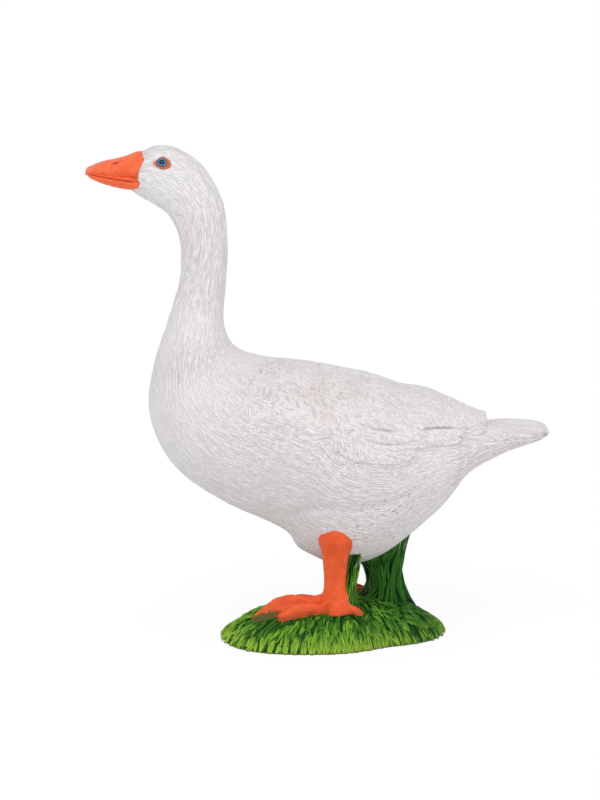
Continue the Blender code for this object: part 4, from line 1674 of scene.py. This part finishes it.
@dataclass
class Leg:
    """One leg with its hock, shank, webbed foot and hind toe, in one piece."""

    turf: Turf
    finish: Material
    belly: BVHTree
    side: Side
    x: float
    spread: float = 12.8
    shank: float = 3.3
    hock: float = 5.7
    hock_sink: float = 1.3
    hock_splay: float = 1.6
    toe: float = 12.2
    outer_toe: float = 8.9
    toe_thickness: float = 2.3
    outer_toe_thickness: float = 1.6
    toe_spread: float = 12.0
    hind_toe: float = 4.2
    web: float = 7.9
    web_thickness: float = 1.15
    voxel: float = 0.16
    smoothings: int = 9

    def build(self) -> bpy.types.Object:
        """Build the piece.

        Returns:
            The piece.
        """
        y = -self.side.value * self.spread / 2
        bm = bmesh.new()
        self.add_shank(bm, y)
        ankle = self.x + self.shank * 0.1
        self.add_foot(bm, ankle, y)
        self.add_hind_toe(bm, ankle, y)
        bmesh.ops.recalc_face_normals(bm, faces=bm.faces)
        holder = new_object("form", shape_mesh(bm))
        skin = holder.modifiers.new("one_skin", "REMESH")
        skin.mode = "VOXEL"
        skin.voxel_size = self.voxel
        smooth = holder.modifiers.new("thumbed", "SMOOTH")
        smooth.factor = 0.5
        smooth.iterations = self.smoothings
        made = settled(holder)
        points = coordinates(made)
        normals = np.empty(len(points) * 3)
        made.vertices.foreach_get("normal", normals)
        normals = normals.reshape(-1, 3)
        lumps = Relief(71).at(points[:, 0] / 1.1 + 40, points[:, 2] / 1.3 + points[:, 1] / 1.4 + 40)
        fine = Relief(72).at(points[:, 0] / 0.45 + 90, points[:, 2] / 0.5 + points[:, 1] / 0.5 + 90)
        points += normals * (0.07 * lumps + 0.035 * fine)[:, None]
        over = points[:, 2] - self.turf.top(points[:, 0], points[:, 1])
        front = rise(-(points[:, 0] - self.x), 8.0, 10.6)
        moss = (1 - rise(over, 0.3, 1.4)) * 0.42 + front * (1 - rise(over, 0.6, 1.8)) * 0.85
        # Painted shade in the dents and low down where the leg meets the turf, and a painted highlight on
        # faces that look up. The moss is green overspray.
        marks = {
            "hollow": np.clip(0.30 * np.clip(-lumps, 0, 1) + 0.30 * (1 - rise(over, 0.2, 1.2)), 0, 1),
            "pale": 0.22 * np.clip(fine, 0, 1) + 0.15 * rise(normals[:, 2], 0.5, 1),
            "moss": np.clip(moss, 0, 1),
        }
        name = f"{self.side.word}_leg"
        return Dressed(name, Slot.ORANGE, self.finish).place(made, points, marks)

    def ground(self, x: float, y: float) -> float:
        """The height of the turf at a place."""
        return float(self.turf.top(np.array(x), np.array(y)))

    def add_shank(self, bm: bmesh.types.BMesh, y: float) -> None:
        """Add the hock and the shank."""
        ground = self.ground(self.x, y)
        splay = self.side.value * self.hock_splay
        under = self.belly.ray_cast(Vector((self.x, y - splay, 0)), Vector((0, 0, 1)))[0].z
        hock = under + self.hock_sink
        half, knob = self.shank / 2, self.hock / 2
        profile = np.array([
            (ground - half * 0.4, half * 1.5, 0.1),
            (ground + half * 0.7, half * 1.4, 0.1),
            (ground + half * 1.6, half * 1.12, 0.02),
            (ground + half * 3.0, half * 0.97, -0.05),
            (hock - knob * 0.9, half * 1.25, 0.0),
            (hock, knob, 0.28),
            (hock + knob * 0.6, knob * 0.90, 0.28),
            (hock + knob * 0.85, knob * 0.4, 0.0),
        ])
        rings = 30
        made = bmesh.ops.create_uvsphere(bm, u_segments=28, v_segments=rings, radius=1)["verts"]
        for vertex in made:
            share, turn = ball_place(vertex)
            ring = round(share * rings)
            place = ring_share(np.array(ring), rings) * (len(profile) - 1)
            height, radius, lean = curve(profile, place)
            radius *= 0 if ring in (0, rings) else 1
            squared = 1 + 0.05 * math.cos(4 * turn)
            out = splay * min(1, max(0, (height - ground) / (hock - ground))) ** 2
            vertex.co = Vector((
                self.x + lean + radius * math.cos(turn) * squared,
                y - out + radius * math.sin(turn) * 0.92 * squared,
                height,
            ))

    def add_foot(self, bm: bmesh.types.BMesh, x0: float, y0: float) -> None:
        """Add three toes that fan out from the ankle, with the web between them."""
        made = bmesh.ops.create_grid(bm, x_segments=36, y_segments=60, size=1)["verts"]
        faces = list({face for vertex in made for face in vertex.link_faces})
        raised = bmesh.ops.extrude_face_region(bm, geom=faces)["geom"]
        upper = {v for v in raised if isinstance(v, bmesh.types.BMVert)}
        for vertex in [*made, *upper]:
            along, fan = (vertex.co.x + 1) / 2, vertex.co.y * 1.25
            toe = math.cos(math.tau * fan) * 0.5 + 0.5
            toe = toe**1.3
            longest = self.toe + (self.outer_toe - self.toe) * min(1, abs(fan))
            distance = (self.web + (longest - self.web) * toe) * along
            heading = math.radians(180 + self.toe_spread * fan)
            x = x0 + distance * math.cos(heading)
            y = y0 + distance * math.sin(heading) - fan * (1 - along)
            knuckle = 1 + 0.16 * math.cos(math.tau * 1.5 * along)
            full = self.toe_thickness + (self.outer_toe_thickness - self.toe_thickness) * min(1, abs(fan))
            thick = self.web_thickness + (full * knuckle - self.web_thickness) * toe
            height = thick * (1.1 - 0.4 * along**5) if vertex in upper else -self.toe_thickness / 2
            vertex.co = Vector((x, y, self.ground(x, y) + height))

    def add_hind_toe(self, bm: bmesh.types.BMesh, x0: float, y0: float) -> None:
        """Add the short toe behind the ankle."""
        rings = 14
        made = bmesh.ops.create_uvsphere(bm, u_segments=18, v_segments=rings, radius=1)["verts"]
        for vertex in made:
            share, turn = ball_place(vertex)
            rounded = math.sqrt(max(0, 1 - (2 * share - 1) ** 4))
            radius = self.toe_thickness / 2 * rounded * (1.3 - 0.7 * share)
            x = x0 + self.hind_toe * share
            height = self.ground(x, y0) + self.toe_thickness * (0.4 - 0.65 * share)
            vertex.co = Vector((x, y0 + radius * math.cos(turn), height + radius * math.sin(turn)))


# The studio


@dataclass
class Studio:
    """A white table, soft light and the camera."""

    aim: tuple[float, float, float] = (-5.1, 0.0, 36.2)
    elevation: float = 12.0
    distance: float = 500.0
    lens: float = 150.0
    sensor: float = 36.0
    sky: float = 0.66
    floor_reach: float = 4.0
    floor_tone: float = 0.90
    seen_tone: float = 0.24
    seen_glow: float = 0.8

    def build(self) -> None:
        """Build the studio."""
        self.camera()
        self.world()
        self.floor()
        for name, towards, strength, softness in (
            ("key_light", (-0.45, -0.75, 1.0), 0.60, 40),
            ("fill_light", (0.7, -0.4, 0.6), 0.32, 60),
            ("front_light", (0.25, -1.0, 0.05), 0.68, 70),
        ):
            self.sun(name, towards, strength, softness)

    def camera(self) -> None:
        """Place the camera where the photograph was taken from."""
        data = bpy.data.cameras.new("camera")
        data.lens = self.lens
        data.sensor_fit = "VERTICAL"
        data.sensor_height = self.sensor
        data.clip_start = 0.01
        camera = new_object("camera", data)
        angle = math.radians(self.elevation)
        aim = Vector(self.aim) * METRES
        back = Vector((0, -math.cos(angle), math.sin(angle)))
        camera.location = aim + back * self.distance * METRES
        camera.rotation_euler = (math.pi / 2 - angle, 0, 0)
        bpy.context.scene.camera = camera
        bpy.context.scene.view_settings.view_transform = "Standard"

    def world(self) -> None:
        """Light the scene from all round and show white behind it."""
        world = bpy.data.worlds.new("studio")
        bpy.context.scene.world = world
        world.use_nodes = True
        graph = Graph(world.node_tree)
        seen = self.seen(graph)
        strength = graph.ramp(seen, 0, 1, self.sky, 1)
        light = graph.add("ShaderNodeBackground", {"Color": (1, 1, 1, 1), "Strength": strength})
        graph.add("ShaderNodeOutputWorld", {"Surface": light.outputs[0]})

    def seen(self, graph: Graph) -> Socket:
        """1 for rays that the camera, a gloss or a glass sends."""
        path = graph.add("ShaderNodeLightPath")
        rays = graph.maths("MAXIMUM", path.outputs["Is Camera Ray"], path.outputs["Is Glossy Ray"])
        return graph.maths("MAXIMUM", rays, path.outputs["Is Transmission Ray"])

    def floor(self) -> None:
        """Lay the white table."""
        bm = bmesh.new()
        bmesh.ops.create_circle(bm, cap_ends=True, segments=96, radius=self.floor_reach)
        mesh = shape_mesh(bm, "table")
        material, graph = start_material("white_table")
        seen = self.seen(graph)
        plain, shade = (
            graph.add("ShaderNodeBsdfDiffuse", {"Color": (tone, tone, tone, 1)})
            for tone in (self.floor_tone, self.seen_tone)
        )
        glow = graph.add("ShaderNodeEmission", {"Color": (1, 1, 1, 1), "Strength": self.seen_glow})
        shown = graph.add("ShaderNodeAddShader", {0: shade.outputs[0], 1: glow.outputs[0]})
        mixed = graph.add("ShaderNodeMixShader", {0: seen, 1: plain.outputs[0], 2: shown.outputs[0]})
        graph.add("ShaderNodeOutputMaterial", {"Surface": mixed.outputs[0]})
        mesh.materials.append(material)
        new_object("table", mesh)

    def sun(self, name: str, towards: tuple[float, float, float], strength: float, softness: float) -> None:
        """Hang one soft light.

        Args:
            name: Its name.
            towards: The direction that it hangs in.
            strength: Its strength.
            softness: Its angle in degrees.
        """
        data = bpy.data.lights.new(name, "SUN")
        data.energy = strength
        data.angle = math.radians(softness)
        lamp = new_object(name, data)
        lamp.rotation_euler = Vector(towards).to_track_quat("Z", "Y").to_euler()


def belly_tree(piece: bpy.types.Object) -> BVHTree:
    """A tree for rays against a piece, in millimetres."""
    mesh = piece.data
    corners = [tuple(face.vertices) for face in mesh.polygons]
    return BVHTree.FromPolygons((coordinates(mesh) / METRES).tolist(), corners)


def build_figurine() -> None:
    """Build each sub-assembly in order."""
    groups = Groups(fine_strokes_group(), patchy_coat_and_shade_group())
    plumage = PlumagePaint().material(groups)
    orange = OrangePaint().material(groups)
    leg_paint = OrangePaint("leg_paint", (0.84, 0.098, 0.013), (0.34, 0.030, 0.006), (0.90, 0.18, 0.07))
    leg_orange = leg_paint.material(groups)
    lid_orange = OrangePaint("eye_ring_paint", (0.64, 0.15, 0.05), pale=(0.68, 0.24, 0.12)).material(groups)
    grass = GrassPaint().material(groups)
    eye = EyePaint().material()
    skin = Skin()
    body = BodyCoat(skin, plumage).build()
    belly = belly_tree(body)
    turf = Turf(grass)
    turf.build()
    Bill(skin, orange).build()
    for side, leg_x, toe in ((Side.LEFT, 0.2, 12.9), (Side.RIGHT, 8.7, 10.4)):
        feathers = small_coverts() + WING_FEATHERS
        FeatherCoat(
            "wing", skin, plumage, side, feathers, (9.9, 18.9), (0.5, 78), (330, 130),
            tan_patch=0.6, flesh=1.0, slits=WING_SLITS,
        ).build()
        FeatherCoat("tail", skin, plumage, side, TAIL_FEATHERS, (17.4, 20.95), (0.5, 80), (110, 80)).build()
        Eye(skin, lid_orange, eye, side).build()
        Leg(turf, leg_orange, belly, side, leg_x, toe=toe).build()
    # Painted shadow: the rear clump gets almost no light green, as it stands in the belly's shadow.
    Tussock(
        "rear_tussock", turf, grass, belly, (23.0, 6.5), (16.4, 16.1), (7.1, 11.6), (12.6, 13.7), 0.0,
        blades=104, tone=0.03, seed=81,
    ).build()
    Tussock(
        "leg_tussock", turf, grass, belly, (6.1, -16.1), (5.2, 6.2), (2.2, 4.0), (2.6, 3.7), 3.8,
        blades=44, tone=1.0, seed=83, segments=64, rings=40, blade_stand=0.22,
    ).build()


def main() -> None:
    """Load the frame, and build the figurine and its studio."""
    logging.basicConfig(level=logging.INFO, format="%(message)s")
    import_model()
    Studio().build()
    build_figurine()


if __name__ == "__main__":
    main()
